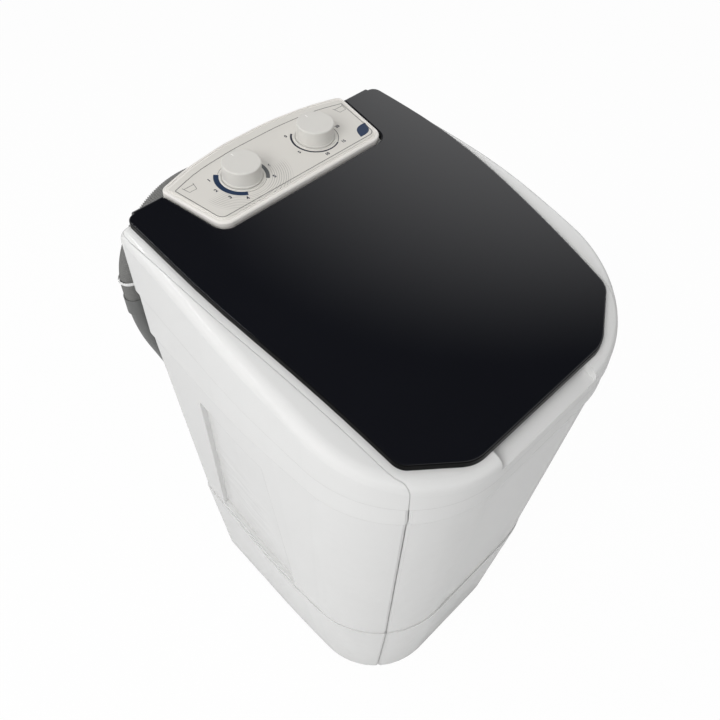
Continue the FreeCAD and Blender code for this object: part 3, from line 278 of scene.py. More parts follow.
# Uneven ripples of this size in the side walls, and where each side of their patch fades in, in metres
# behind the tub axis and over the floor: from clear to full
RIPPLE_LENGTH, RIPPLE_HEIGHT, RIPPLE_DEPTH = 70 * MM, 26 * MM, 3 * MM
RIPPLE_STRENGTH = 0.35
RIPPLE_FADES = (("Z", 0.29, 0.38), ("Z", 0.56, 0.42), ("Y", 0.02, 0.06), ("Y", 0.19, 0.14))


def side_panel_plastic(name, base, roughness, edge_mm):
    """The cabinet's plastic with the shallow sink ripples that its long side walls show."""
    material = moulded(name, base, roughness, edge_mm=edge_mm)
    tree = material.node_tree
    shader = tree.nodes["Principled BSDF"]
    coords = add_node(tree, "ShaderNodeTexCoord")
    moved = add_node(tree, "ShaderNodeVectorMath", {0: coords.outputs["Object"], 1: TUB_AXIS},
                     operation="SUBTRACT")
    axes = add_node(tree, "ShaderNodeSeparateXYZ", {0: moved.outputs[0]})
    waves_per_metre = (1 / RIPPLE_LENGTH, 1 / RIPPLE_LENGTH, 1 / RIPPLE_HEIGHT)
    drawn = add_node(tree, "ShaderNodeMapping", {"Vector": coords.outputs["Object"],
                                                 "Scale": waves_per_metre})
    wave = add_node(tree, "ShaderNodeTexNoise", {"Vector": drawn.outputs[0], "Scale": 1.0,
                                                 "Detail": 1.0})
    height = wave.outputs["Fac"]
    for axis, clear, full in RIPPLE_FADES:
        fade = add_node(tree, "ShaderNodeMapRange", {0: axes.outputs[axis], 1: clear, 2: full},
                        interpolation_type="SMOOTHSTEP")
        height = add_node(tree, "ShaderNodeMath", {0: height, 1: fade.outputs[0]},
                          operation="MULTIPLY").outputs[0]
    flat = shader.inputs["Normal"].links[0].from_socket
    ripple = add_node(tree, "ShaderNodeBump", {"Height": height, "Distance": RIPPLE_DEPTH,
                                               "Strength": RIPPLE_STRENGTH, "Normal": flat})
    tree.links.new(ripple.outputs["Normal"], shader.inputs["Normal"])
    return material


def lid_acrylic(name, base):
    """High-gloss black acrylic: nearly a mirror, with a trace of polish haze."""
    roughness = 0.06
    material, tree, shader = new_material(name, base, roughness, ior=1.49)
    mottled(tree, shader, base, spread=0.1, grain_mm=60.0, roughness=roughness, rough_spread=0.015)
    return material


# Contour rings about the left knob's axis, and where they fade in: from clear to full
RING_PITCH, RING_WIDTH = 3.2 * MM, 0.8 * MM
RING_INK = 0.45
RING_INNER, RING_OUTER, RING_REAR = (38 * MM, 40 * MM), (74 * MM, 64 * MM), (-6 * MM, -16 * MM)


def printed_film(name, base, line, centre):
    """Satin polycarbonate film with faint contour rings printed in front of the left knob."""
    roughness = 0.42
    material, tree, shader = new_material(name, base, roughness)
    coords = mottled(tree, shader, base, spread=0.015, grain_mm=40.0, roughness=roughness,
                     rough_spread=0.04)
    grain_bump(tree, shader, coords, grain_mm=0.8, depth_mm=0.01)
    tint = shader.inputs["Base Color"].links[0].from_socket
    moved = add_node(tree, "ShaderNodeVectorMath", {0: coords.outputs["Object"], 1: centre},
                     operation="SUBTRACT")
    parts = add_node(tree, "ShaderNodeSeparateXYZ", {0: moved.outputs[0]})
    flat = add_node(tree, "ShaderNodeCombineXYZ", {"X": parts.outputs["X"], "Y": parts.outputs["Y"]})
    reach = add_node(tree, "ShaderNodeVectorMath", {0: flat.outputs[0]},
                     operation="LENGTH").outputs["Value"]
    turns = add_node(tree, "ShaderNodeMath", {0: reach, 1: 1 / RING_PITCH}, operation="MULTIPLY")
    saw = add_node(tree, "ShaderNodeMath", {0: turns.outputs[0]}, operation="FRACT")
    shown = add_node(tree, "ShaderNodeMath", {0: saw.outputs[0], 1: RING_WIDTH / RING_PITCH},
                     operation="LESS_THAN").outputs[0]
    fades = ((reach, RING_INNER), (reach, RING_OUTER), (parts.outputs["Y"], RING_REAR))
    for place, (clear, full) in fades:
        fade = add_node(tree, "ShaderNodeMapRange", {0: place, 1: clear, 2: full})
        shown = add_node(tree, "ShaderNodeMath", {0: shown, 1: fade.outputs[0]},
                         operation="MULTIPLY").outputs[0]
    faint = add_node(tree, "ShaderNodeMath", {0: shown, 1: RING_INK}, operation="MULTIPLY")
    mixed = add_node(tree, "ShaderNodeMix", {0: faint.outputs[0], 6: tint, 7: line}, data_type="RGBA")
    tree.links.new(mixed.outputs[2], shader.inputs["Base Color"])
    return material


def turned_metal(name, hex_colour, roughness, grain_mm):
    """Machined or drawn metal with fine tool marks."""
    base = linear(hex_colour)
    material, tree, shader = new_material(name, base, roughness, metallic=1.0)
    coords = mottled(tree, shader, base, spread=0.12, grain_mm=grain_mm, roughness=roughness,
                     rough_spread=0.08)
    grain_bump(tree, shader, coords, grain_mm, depth_mm=0.02)
    return material


def make_materials(colours):
    """Every finish on the machine, by the record's slot names and by piece. A moulding's numbers are its
    roughness, the width and depth of its grain and the rounding of its edges, the last three in mm; a
    metal's are its roughness and the width of its grain."""
    knob_place = Vector(JOINTS["program_turn"]["pos_m"])
    white = tuple(colours.cabinet)
    return {
        # ABS in gloss white, from a polished mould: sharp reflections and soft edges
        "white_plastic": moulded("white_abs_moulding", white, 0.1, edge_mm=1.6),
        "side_panel": side_panel_plastic("white_abs_side_wall", white, 0.1, 1.6),
        # Cast acrylic, polished: deep black under a mirror gloss
        "black_lid": lid_acrylic("black_acrylic", tuple(colours.lid)),
        # Painted shade round the lid's edge: the lid's own black made darker and satin, with scarcely any gloss,
        # to stand for the dark reflections its upright sides show
        "lid_side_painted_shade": moulded("black_acrylic_side_painted_shade", linear("#040405"), 0.25, 3.0, 0.01, specular=0.06),
        # ABS with a fine spark-eroded texture: warm and matt
        "grey_console": moulded("warm_grey_abs", tuple(colours.console), 0.42, 1.2, 0.03),
        "printed_film": printed_film("printed_polycarbonate_film", tuple(colours.film),
                                     tuple(colours.line), knob_place),
        # ABS of the knobs: satin, with a finer grain
        "knob": moulded("white_abs_knob", tuple(colours.knob), 0.36, 1.0, 0.015),
        # PVC, dull on the ribbed hose and smoother on the pipe
        "grey_hose": moulded("grey_pvc_hose", tuple(colours.hose), 0.5, 3.0, 0.05),
        "grey_pipe": moulded("grey_pvc_pipe", linear("#676867"), 0.4, 4.0, 0.03, 0.8),
        # Polypropylene, softer in gloss than ABS
        "tub_plastic": moulded("white_polypropylene", linear("#E3E6E6"), 0.38, 5.0, 0.04, 1.6),
        "blue_plastic": moulded("blue_polypropylene", linear("#3E5C86"), 0.38, 4.0, 0.04, 1.6),
        # Moulded rubber: dull, with a coarse skin
        "black_rubber": moulded("black_rubber", linear("#1B1B1C"), 0.72, 1.5, 0.06, 1.0),
        # Metals: bright zinc plating, the dull skin of a casting, and porous warm bronze
        "steel": turned_metal("zinc_plated_steel", "#B9BBBE", 0.34, 2.0),
        "cast_aluminium": turned_metal("cast_aluminium", "#A6A8AA", 0.48, 1.6),
        "bronze": turned_metal("sintered_bronze", "#8E6A3C", 0.45, 1.2),
        # Powder-coated sheet steel with a fine orange peel
        "painted_steel": moulded("powder_coated_steel", linear("#D4D5D4"), 0.45, 1.8, 0.05, 1.0),
        # Screen inks: matt and nearly flat. The white one is a painted highlight: it stands for the light caught
        # by the knobs' engraved pointers
        "ink_blue": moulded("blue_screen_ink", tuple(colours.blue), 0.5, 0.6, 0.005),
        "ink_navy": moulded("navy_screen_ink", tuple(colours.navy), 0.5, 0.6, 0.005),
        "ink_grey": moulded("grey_screen_ink", tuple(colours.grey), 0.5, 0.6, 0.005),
        # Painted highlight: white standing for the light that each knob's engraved pointer catches
        "pointer_painted_highlight": moulded("knob_pointer_highlight_paint", linear("#FBFAF7"), 0.4, 0.6, 0.005),
        "ink_line": moulded("pale_grey_screen_ink", tuple(colours.line), 0.5, 0.6, 0.005),
    }


# Nodes whose finish is not the one of their slot
OWN_FINISH = {"left_side_panel": "side_panel", "right_side_panel": "side_panel",
              "drain_pipe": "grey_pipe", "hose_cuff": "grey_pipe"}
FINISHES = {}


def finish(name):
    """The material of this name; all of them are made at the first call."""
    if not FINISHES:
        FINISHES.update(make_materials(bpy.context.scene.washer_colours))
    return FINISHES[name]


# Mesh tools: points closer than this are one, a rounded corner turns by this many degrees a step, and a
# sharp one is drawn in by no more than its inset over this share
MERGE = 0.001 * MM
CORNER_STEP = 6
MITRE_LIMIT = 0.5


def rounded_loop(corners):
    """Closed plan loop through corners given as x, y, radius, counted anticlockwise."""
    points = []
    count = len(corners)
    for i, (x, y, radius) in enumerate(corners):
        here = Vector((x, y))
        before = (Vector(corners[i - 1][:2]) - here).normalized()
        after = (Vector(corners[(i + 1) % count][:2]) - here).normalized()
        half = before.angle(after) / 2
        reach = radius / math.tan(half)
        centre = here + (before + after).normalized() * (radius / math.sin(half))
        start = here + before * reach - centre
        turn = math.pi - 2 * half
        side = 1 if before.x * after.y - before.y * after.x < 0 else -1
        steps = max(3, math.ceil(math.degrees(turn) / CORNER_STEP))
        for k in range(steps + 1):
            spin = Matrix.Rotation(side * turn * k / steps, 2)
            points.append(centre + spin @ start)
    return points


def mirrored(right):
    """The corners of the right half and their mirror images, as one loop."""
    return right + [(-x, y, radius) for x, y, radius in reversed(right)]


def drawn_in(loop, inset):
    """The loop moved inwards by an inset."""
    moved = []
    count = len(loop)
    for i, point in enumerate(loop):
        one = (point - loop[i - 1]).normalized()
        two = (loop[(i + 1) % count] - point).normalized()
        normal = Vector((-one.y - two.y, one.x + two.x)).normalized()
        spread = max(MITRE_LIMIT, normal.dot(Vector((-one.y, one.x))))
        moved.append(point + normal * (inset / spread))
    return moved


def skinned(mesh, rings, capped=True):
    """Faces from each ring to the next, and caps on the first and the last; a pole is a ring of one."""
    for low, high in zip(rings, rings[1:]):
        count = max(len(low), len(high))
        for i in range(count):
            j = (i + 1) % count
            corners = (low[i % len(low)], low[j % len(low)], high[j % len(high)], high[i % len(high)])
            mesh.faces.new(list(dict.fromkeys(corners)))
    if capped:
        mesh.faces.new(rings[0][::-1])
        mesh.faces.new(rings[-1])


def stacked(mesh, loop, profile):
    """Closed solid over a plan loop: rings of inset and height from the under cap to the top cap."""
    rings = []
    for inset, height in profile:
        rings.append([mesh.verts.new((p.x, p.y, height)) for p in drawn_in(loop, inset)])
    skinned(mesh, rings)


def rounded_rise(radius, top, steps=6):
    """Inset and height pairs of a rounded top edge."""
    angles = [math.pi / 2 * k / steps for k in range(steps + 1)]
    return [(radius * (1 - math.cos(a)), top - radius * (1 - math.sin(a))) for a in angles]


def spun(mesh, profile, segments, place=Matrix.Identity(4)):
    """Closed solid of turning radius and height pairs about Z."""
    turns = [2 * math.pi * k / segments for k in range(segments)]
    rings = []
    for radius, height in profile:
        spots = [(radius * math.cos(a), radius * math.sin(a)) for a in turns] if radius else [(0, 0)]
        rings.append([mesh.verts.new(place @ Vector((x, y, height))) for x, y in spots])
    skinned(mesh, rings, capped=False)


def strip(mesh, points, width, low, high, closed=False):
    """Thin raised line of a width along plan points."""
    count = len(points)
    rings = []
    for i, point in enumerate(points):
        before = points[i - 1] if closed or i else point
        after = points[(i + 1) % count] if closed or i < count - 1 else point
        along = (after - before).normalized()
        across = Vector((-along.y, along.x)) * (width / 2)
        left, right = point + across, point - across
        rings.append([mesh.verts.new((p.x, p.y, z)) for p, z in (
            (right, low), (left, low), (left, high), (right, high))])
    if closed:
        rings.append(rings[0])
    skinned(mesh, rings, capped=not closed)


def finish_piece(name, mesh, finish_name, body, nodes=(), place=None):
    """Turn a mesh in the making into a piece that rides on a body and stands for its CAD nodes."""
    bmesh.ops.remove_doubles(mesh, verts=mesh.verts, dist=MERGE)
    bmesh.ops.recalc_face_normals(mesh, faces=mesh.faces)
    data = bpy.data.meshes.new(name)
    mesh.to_mesh(data)
    mesh.free()
    if place is not None:
        data.transform(place)
    data.materials.append(finish(finish_name))
    data.shade_smooth()
    data.set_sharp_from_angle(angle=SHARP_ANGLE)
    piece = bpy.data.objects.new(name, data)
    bpy.context.scene.collection.objects.link(piece)
    weighted = piece.modifiers.new("Weighted normals", "WEIGHTED_NORMAL")
    weighted.keep_sharp = True
    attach(piece, body)
    if nodes:
        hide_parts(*nodes)
    return piece


# Geometry Nodes
def new_tree(name, inputs):
    """Node tree that takes a geometry and named inputs: the tree, the inputs' ids and their sockets."""
    tree = bpy.data.node_groups.new(name, "GeometryNodeTree")
    face = tree.interface
    face.new_socket("Geometry", in_out="INPUT", socket_type="NodeSocketGeometry")
    ids = {}
    for label, kind in inputs.items():
        ids[label] = face.new_socket(label, in_out="INPUT", socket_type=kind).identifier
    face.new_socket("Geometry", in_out="OUTPUT", socket_type="NodeSocketGeometry")
    return tree, ids, add_node(tree, "NodeGroupInput").outputs


def end_tree(tree, geometry, material):
    """The end of every tree: instances made real, in one material."""
    whole = add_node(tree, "GeometryNodeRealizeInstances", {"Geometry": geometry})
    dressed = add_node(tree, "GeometryNodeSetMaterial", {"Geometry": whole.outputs[0],
                                                         "Material": material})
    add_node(tree, "NodeGroupOutput", {"Geometry": dressed.outputs[0]})


def realised(name, source, tree, ids, values):
    """Plain mesh piece of what a tree with these input values makes of an object, which is removed."""
    modifier = source.modifiers.new(tree.name, "NODES")
    modifier.node_group = tree
    for label, value in values.items():
        modifier[ids[label]] = value
    data = bpy.data.meshes.new_from_object(source.evaluated_get(bpy.context.evaluated_depsgraph_get()))
    data.name = name
    data.shade_smooth()
    piece = bpy.data.objects.new(name, data)
    bpy.context.scene.collection.objects.link(piece)
    bpy.data.objects.remove(source)
    if not data.polygons:
        raise RuntimeError("%s came out empty" % name)
    return piece


RINGS_PER_RIB = 4
HOSE_SIDES = 28


def ribbed_tube_tree():
    """Node tree that turns a curve into a tube with ribs, each of two rings at its root and two at its
    crest."""
    tree, ids, given = new_tree("ribbed tube", {
        "Rib pitch": "NodeSocketFloat", "Crest radius": "NodeSocketFloat",
        "Root radius": "NodeSocketFloat", "Material": "NodeSocketMaterial"})
    gap = add_node(tree, "ShaderNodeMath", {0: given["Rib pitch"], 1: RINGS_PER_RIB}, operation="DIVIDE")
    even = add_node(tree, "GeometryNodeResampleCurve", {"Curve": given["Geometry"],
                                                        "Length": gap.outputs[0]}, mode="LENGTH")
    index = add_node(tree, "GeometryNodeInputIndex")
    ring = add_node(tree, "ShaderNodeMath", {0: index.outputs[0], 1: RINGS_PER_RIB}, operation="MODULO")
    # The second and third ring of each rib are at its crest
    raised = add_node(tree, "ShaderNodeMath", {0: ring.outputs[0], 1: 1.5, 2: 0.6}, operation="COMPARE")
    radius = add_node(tree, "ShaderNodeMapRange", {0: raised.outputs[0], 3: given["Root radius"],
                                                   4: given["Crest radius"]})
    circle = add_node(tree, "GeometryNodeCurvePrimitiveCircle", {"Resolution": HOSE_SIDES,
                                                                 "Radius": 1.0})
    tube = add_node(tree, "GeometryNodeCurveToMesh", {"Curve": even.outputs[0],
                                                      "Profile Curve": circle.outputs["Curve"],
                                                      "Scale": radius.outputs[0]})
    end_tree(tree, tube.outputs[0], given["Material"])
    return tree, ids


def repeated_tree():
    """Node tree that sets a piece on every point, each turned at random by up to the given turn."""
    tree, ids, given = new_tree("repeated piece", {
        "Piece": "NodeSocketObject", "Turn": "NodeSocketVector", "Seed": "NodeSocketInt",
        "Material": "NodeSocketMaterial"})
    piece = add_node(tree, "GeometryNodeObjectInfo", {"Object": given["Piece"]})
    turn = add_node(tree, "FunctionNodeRandomValue", {1: given["Turn"], "Seed": given["Seed"]},
                    data_type="FLOAT_VECTOR")
    placed = add_node(tree, "GeometryNodeInstanceOnPoints", {"Points": given["Geometry"],
                                                             "Instance": piece.outputs["Geometry"],
                                                             "Rotation": turn.outputs[0]})
    end_tree(tree, placed.outputs[0], given["Material"])
    return tree, ids


# Places that pieces share
def dome_height(sizes, y):
    """Height of the lid's top at y: the circle through its three stated heights."""
    a = Vector((sizes.back, sizes.back_height))
    b = Vector((0.0, sizes.mid_height))
    c = Vector((-sizes.front, sizes.front_height))
    span = 2 * (a.x * (b.y - c.y) + b.x * (c.y - a.y) + c.x * (a.y - b.y))
    aa, bb, cc = a.length_squared, b.length_squared, c.length_squared
    centre = Vector(((aa * (b.y - c.y) + bb * (c.y - a.y) + cc * (a.y - b.y)) / span,
                     (aa * (c.x - b.x) + bb * (a.x - c.x) + cc * (b.x - a.x)) / span))
    return centre.y + math.sqrt((a - centre).length_squared - (y - centre.x) ** 2)


def console_place():
    """From the console's own plane to the machine: between the two knob axes."""
    left, right = JOINTS["program_turn"], JOINTS["timer_turn"]
    middle = (Vector(left["pos_m"]) + Vector(right["pos_m"])) / 2
    tilt = math.atan2(-left["axis"][1], left["axis"][2])
    return Matrix.Translation(middle) @ Matrix.Rotation(tilt, 4, "X")


def dial_middle(joint):
    """How far right of the console's middle a knob's axis is."""
    return JOINTS[joint]["pos_m"][0]


# The console's rear edge bows over two corners a side, given as shares of its half width and its bulge,
# with a radius that is a multiple of its half width
REAR_CORNERS = ((0.69, 0.6), (0.26, 1.0))
REAR_BOW = 1.7
LEAST_RADIUS = 1.5 * MM


def console_loop(sizes, inset=0.0):
    """Plan of the console, drawn in by an inset."""
    half = sizes.rear_half_width - inset
    rear = sizes.rear - inset
    bow = sizes.rear_half_width * REAR_BOW
    corners = [
        (sizes.half_width - inset, inset - sizes.front, max(sizes.corner_radius - inset, LEAST_RADIUS)),
        (half, rear, max(sizes.corner_radius / 2 - inset, LEAST_RADIUS))]
    corners += [(half * across, rear + sizes.bulge * out, bow) for across, out in REAR_CORNERS]
    return rounded_loop(mirrored(corners))


def lid_loop(sizes, console):
    """Plan of the lid about the tub axis, with the notch that leaves the console free."""
    middle = console_place().translation.y - TUB_AXIS.y
    flare = (console.rear_half_width - console.half_width) / (console.rear + console.front)
    mouth = middle - console.front - sizes.gap
    arm = console.half_width + sizes.gap + flare * (sizes.back - mouth - sizes.gap)
    return rounded_loop(mirrored([
        (sizes.nose_half_width, -sizes.front, sizes.nose_radius),
        (sizes.corner_half_width, -sizes.corner, sizes.corner_radius),
        (sizes.half_width, sizes.widest, sizes.side_radius),
        (sizes.back_half_width, sizes.back, sizes.rear_radius),
        (arm, sizes.back, sizes.arm_radius),
        (console.half_width + sizes.gap, mouth, console.corner_radius)]))


BARREL_STEPS = 16
BARREL_TAPER = 0.9


def hinge_barrels(mesh, sizes, inner, outer):
    """The two hinge barrels, with the lid's top running on over them."""
    hinge = Vector(JOINTS["lid_hinge"]["pos_m"]) - TUB_AXIS
    start = hinge.y - sizes.barrel_reach
    section = [Vector((start, dome_height(sizes, start) - sizes.barrel_sink))]
    for k in range(BARREL_STEPS + 1):
        turn = math.pi / 2 - math.pi * k / BARREL_STEPS
        section.append(hinge.yz + Vector((math.cos(turn), math.sin(turn))) * sizes.barrel_radius)
    section.append(Vector((start, dome_height(sizes, start) - sizes.thickness)))
    for left, right in ((inner, outer), (-outer, -inner)):
        rings = []
        for x, scale in ((left, BARREL_TAPER), (left + sizes.barrel_end, 1.0),
                         (right - sizes.barrel_end, 1.0), (right, BARREL_TAPER)):
            ring = [hinge.yz + (spot - hinge.yz) * scale for spot in section]
            rings.append([mesh.verts.new((x, spot.x, spot.y)) for spot in ring])
        skinned(mesh, rings)


# Pieces
class WASHER_OT_finishes(bpy.types.Operator):
    """Give every CAD node of the machine its finish"""
    bl_idname = "washer.finishes"
    bl_label = "Finishes"

    def execute(self, context):
        slots = {row["node"]: row["material_slot"] for row in frame["record"]["subparts"]}
        for name, node in frame["nodes"].items():
            node.data.materials.clear()
            node.data.materials.append(finish(OWN_FINISH.get(name, slots[name])))
        return {"FINISHED"}


# Faces of the lid whose normals rise less than this get the painted shade of its satin edge
PAINTED_SHADE_RISE = 0.6


class WASHER_OT_lid(bpy.types.Operator):
    """Build the domed lid with its rounded edge and hinge barrels"""
    bl_idname = "washer.lid"
    bl_label = "Lid"

    def execute(self, context):
        sizes = context.scene.washer_lid
        console = context.scene.washer_console
        mesh = bmesh.new()
        under = [(sizes.wall, -sizes.wall), (sizes.wall, -sizes.thickness), (0.0, -sizes.thickness)]
        stacked(mesh, lid_loop(sizes, console), under + rounded_rise(sizes.edge_radius, 0.0))
        y = -sizes.front + sizes.strip
        while y < sizes.back:
            everything = mesh.verts[:] + mesh.edges[:] + mesh.faces[:]
            bmesh.ops.bisect_plane(mesh, geom=everything, dist=MERGE, plane_co=(0, y, 0),
                                   plane_no=(0, 1, 0))
            y += sizes.strip
        for vert in mesh.verts:
            vert.co.z += dome_height(sizes, vert.co.y)
        mesh.normal_update()
        # Upright faces take the second material, a darker black that is painted shade on the lid's sides
        for face in mesh.faces:
            face.material_index = 0 if abs(face.normal.z) > PAINTED_SHADE_RISE else 1
        hinge_barrels(mesh, sizes, console.rear_half_width + sizes.gap,
                      sizes.back_half_width - sizes.rear_radius)
        lid = finish_piece("lid_moulding", mesh, "black_lid", "lid", ["lid"],
                           Matrix.Translation(TUB_AXIS))
        # The second material is the painted shade on the lid's upright sides
        lid.data.materials.append(finish("lid_side_painted_shade"))
        return {"FINISHED"}


ROUND_SIDES = 96


class WASHER_OT_console(bpy.types.Operator):
    """Build the console housing with its grooved border, the printed sheet and the knobs' rings"""
    bl_idname = "washer.console"
    bl_label = "Console"

    def execute(self, context):
        sizes = context.scene.washer_console
        place = console_place()
        chamfer = sizes.foot_chamfer
        housing = [(sizes.inset + chamfer, -sizes.depth), (sizes.inset, chamfer - sizes.depth),
                   (sizes.inset, -sizes.lip), (0.0, -sizes.lip)]
        near, far = sizes.groove_inset, sizes.groove_inset + sizes.groove_width
        border = [(near, 0.0), (near + sizes.groove_slope, -sizes.groove),
                  (far - sizes.groove_slope, -sizes.groove), (far, 0.0), (sizes.top_inset, 0.0)]
        mesh = bmesh.new()
        stacked(mesh, console_loop(sizes), housing + rounded_rise(sizes.edge_radius, 0.0) + border)
        finish_piece("console_housing", mesh, "grey_console", "cabinet",
                     ["console_body"], place)
        mesh = bmesh.new()
        stacked(mesh, console_loop(sizes, sizes.sheet_inset),
                [(0.0, 0.0)] + rounded_rise(sizes.sheet_radius, sizes.sheet, steps=3))
        finish_piece("console_sheet", mesh, "printed_film", "cabinet",
                     ["console_overlay"], place)
        inner, outer = sizes.collar_inner, sizes.collar_outer
        low, high = sizes.sheet - sizes.collar_sink, sizes.sheet + sizes.collar_height
        soft = sizes.collar_edge
        ring = [(inner, low), (outer, low), (outer, high - soft), (outer - soft, high),
                (inner + soft, high), (inner, high - soft)]
        mesh = bmesh.new()
        for joint in ("program_turn", "timer_turn"):
            spun(mesh, ring + ring[:1], ROUND_SIDES, Matrix.Translation((dial_middle(joint), 0, 0)))
        finish_piece("knob_collars", mesh, "knob", "cabinet", (), place)
        return {"FINISHED"}


# Printed arcs: ink, dial, inner and outer radius in mm at the start and the end, and both angles
ARCS = (
    ("ink_blue", "program_turn", (32.6, 32.6), (40, 40), (134, 243)),
    ("ink_grey", "program_turn", (33, 33), (38.4, 38.4), (-46, 34)),
    ("ink_grey", "program_turn", (33, 35.6), (38.4, 35.8), (34, 62)),
    ("ink_navy", "timer_turn", (33.8, 34.2), (36.8, 36.2), (128, 300)),
    ("ink_line", "timer_turn", (34.4, 34.4), (35.4, 35.4), (302, 368)),
    ("ink_line", "program_turn", (34, 34), (34.5, 34.5), (30, 132)),
    ("ink_line", "program_turn", (34, 34), (34.5, 34.5), (242, 312)))
ARC_STEPS = 48
# Numbers round the dials: dial, distance from its axis and size in mm, and the angle of each
NUMBERS = (
    ("program_turn", 46, 8, {"1": 150, "2": 180, "3": 210, "4": 240}),
    ("program_turn", 45, 8, {"5": -40, "6": -8, "7": 24}),
    ("timer_turn", 43, 7, {"0": 138, "5": 196, "10": 252, "15": 306, "20": 356}))
NUMBER_WEIGHT = 0.035
# Border line, leaf and tub signs in the console's own plane, in mm; a border corner ends with its radius
BORDER = [(144, -49, 11), (157, 35, 1), (110, 49, 250), (40, 55, 300)]
BORDER_WIDTH = 1.1
LEAF_TIP, LEAF_STEM, LEAF_SAG, LEAF_STEPS = (150, -23), (121, -44), 9, 16
SIGN_PLACES = (-138, 146)
SIGN_LINES = (((-9, 33), (-6, 20), (6, 20), (9, 33)), ((-8, 30), (8, 30)))
SIGN_WIDTH = 0.8


def printed_arc(mesh, middle, inner, outer, angles, low, high):
    """Raised ring sector about a dial, its radii and angles given at its start and its end."""
    rings = []
    for k in range(ARC_STEPS + 1):
        share = k / ARC_STEPS
        turn = math.radians(angles[0] + (angles[1] - angles[0]) * share)
        ring = []
        for radii, z in ((inner, low), (outer, low), (outer, high), (inner, high)):
            radius = (radii[0] + (radii[1] - radii[0]) * share) * MM
            ring.append(mesh.verts.new((middle + radius * math.cos(turn), radius * math.sin(turn), z)))
        rings.append(ring)
    skinned(mesh, rings)


def numeral(mesh, text, centre, size, low, high):
    """A plain number set flat on the sheet."""
    curve = bpy.data.curves.new("numeral", "FONT")
    curve.body = text
    curve.size = size
    curve.align_x = "CENTER"
    curve.align_y = "CENTER"
    curve.extrude = (high - low) / 2
    curve.offset = size * NUMBER_WEIGHT
    holder = bpy.data.objects.new("numeral", curve)
    bpy.context.scene.collection.objects.link(holder)
    data = bpy.data.meshes.new_from_object(holder.evaluated_get(bpy.context.evaluated_depsgraph_get()))
    data.transform(Matrix.Translation((centre[0], centre[1], (low + high) / 2)))
    mesh.from_mesh(data)
    bpy.data.objects.remove(holder)
    bpy.data.curves.remove(curve)
    bpy.data.meshes.remove(data)


def leaf(mesh, low, high):
    """Plain leaf in the front right corner: two bowed edges between its tip and its stem."""
    tip, chord = Vector(LEAF_TIP), Vector(LEAF_STEM) - Vector(LEAF_TIP)
    across = Vector((-chord.y, chord.x)).normalized()
    edge = []
    for k in range(2 * LEAF_STEPS):
        turn = math.pi * k / LEAF_STEPS
        along = min(k, 2 * LEAF_STEPS - k) / LEAF_STEPS
        edge.append((tip + chord * along + across * (LEAF_SAG * math.sin(turn))) * MM)
    skinned(mesh, [[mesh.verts.new((p.x, p.y, z)) for p in edge] for z in (low, high)])


class WASHER_OT_print(bpy.types.Operator):
    """Print the dial arcs, numbers, border line, leaf and tub signs on the console sheet"""
    bl_idname = "washer.print"
    bl_label = "Console print"

    def execute(self, context):
        sizes = context.scene.washer_console
        place = console_place()
        low, high = sizes.sheet, sizes.sheet + sizes.ink
        inks = {name: bmesh.new() for name in ("ink_blue", "ink_navy", "ink_grey", "ink_line")}
        for ink, dial, inner, outer, angles in ARCS:
            printed_arc(inks[ink], dial_middle(dial), inner, outer, angles, low, high)
        border = rounded_loop(mirrored([tuple(value * MM for value in corner) for corner in BORDER]))
        strip(inks["ink_line"], border, BORDER_WIDTH * MM, low, high, closed=True)
        for dial, reach, size, places in NUMBERS:
            for number, angle in places.items():
                a = math.radians(angle)
                spot = (dial_middle(dial) + reach * MM * math.cos(a), reach * MM * math.sin(a))
                numeral(inks["ink_navy"], number, spot, size * MM, low, high)
        leaf(inks["ink_blue"], low, high)
        for middle in SIGN_PLACES:
            for line in SIGN_LINES:
                points = [Vector((middle + x, y)) * MM for x, y in line]
                strip(inks["ink_line"], points, SIGN_WIDTH * MM, low, high)
        for name, mesh in inks.items():
            piece = "print_" + name.removeprefix("ink_")
            finish_piece(piece, mesh, name, "cabinet", (), place)
        return {"FINISHED"}


class WASHER_OT_knobs(bpy.types.Operator):
    """Build the two knobs with their foot rings and pointer marks"""
    bl_idname = "washer.knobs"
    bl_label = "Knobs"

    def execute(self, context):
        sizes = context.scene.washer_knob
        low, top = sizes.lift, sizes.height
        wall = low + sizes.ring_height
        foot, crown = sizes.radius, sizes.top_radius
        dish = crown - sizes.dish_rim
        floor = top - sizes.dish_depth
        profile = [(0, low), (foot - sizes.foot_edge, low), (foot, low + sizes.foot_edge), (foot, wall),
                   (foot - sizes.ring_edge, wall + sizes.ring_edge),
                   (foot - sizes.ring_step, wall + sizes.foot_edge)]
        profile += [(crown - inset, height) for inset, height in rounded_rise(sizes.edge_radius, top)]
        profile += [(dish, top), (dish - sizes.dish_slope, floor), (0, floor)]
        line = [Vector((0, sizes.pointer_start)), Vector((0, sizes.pointer_end))]
        for body, joint in (("program_knob", "program_turn"), ("timer_knob", "timer_turn")):
            place = console_place() @ Matrix.Translation((dial_middle(joint), 0, 0))
            mesh = bmesh.new()
            spun(mesh, profile, ROUND_SIDES)
            finish_piece(body + "_moulding", mesh, "knob", body, [body], place)
            # Pointer: a shallow engraved line whose white is a painted highlight
            mark = bmesh.new()
            strip(mark, line, sizes.pointer_width, top - sizes.pointer_root, top - sizes.pointer_sink)
            finish_piece(body + "_pointer", mark, "pointer_painted_highlight", body, (), place)
        return {"FINISHED"}


# Handles that make a quarter circle of a Bezier span, as a share of its radius
QUARTER_HANDLE = 0.5522848


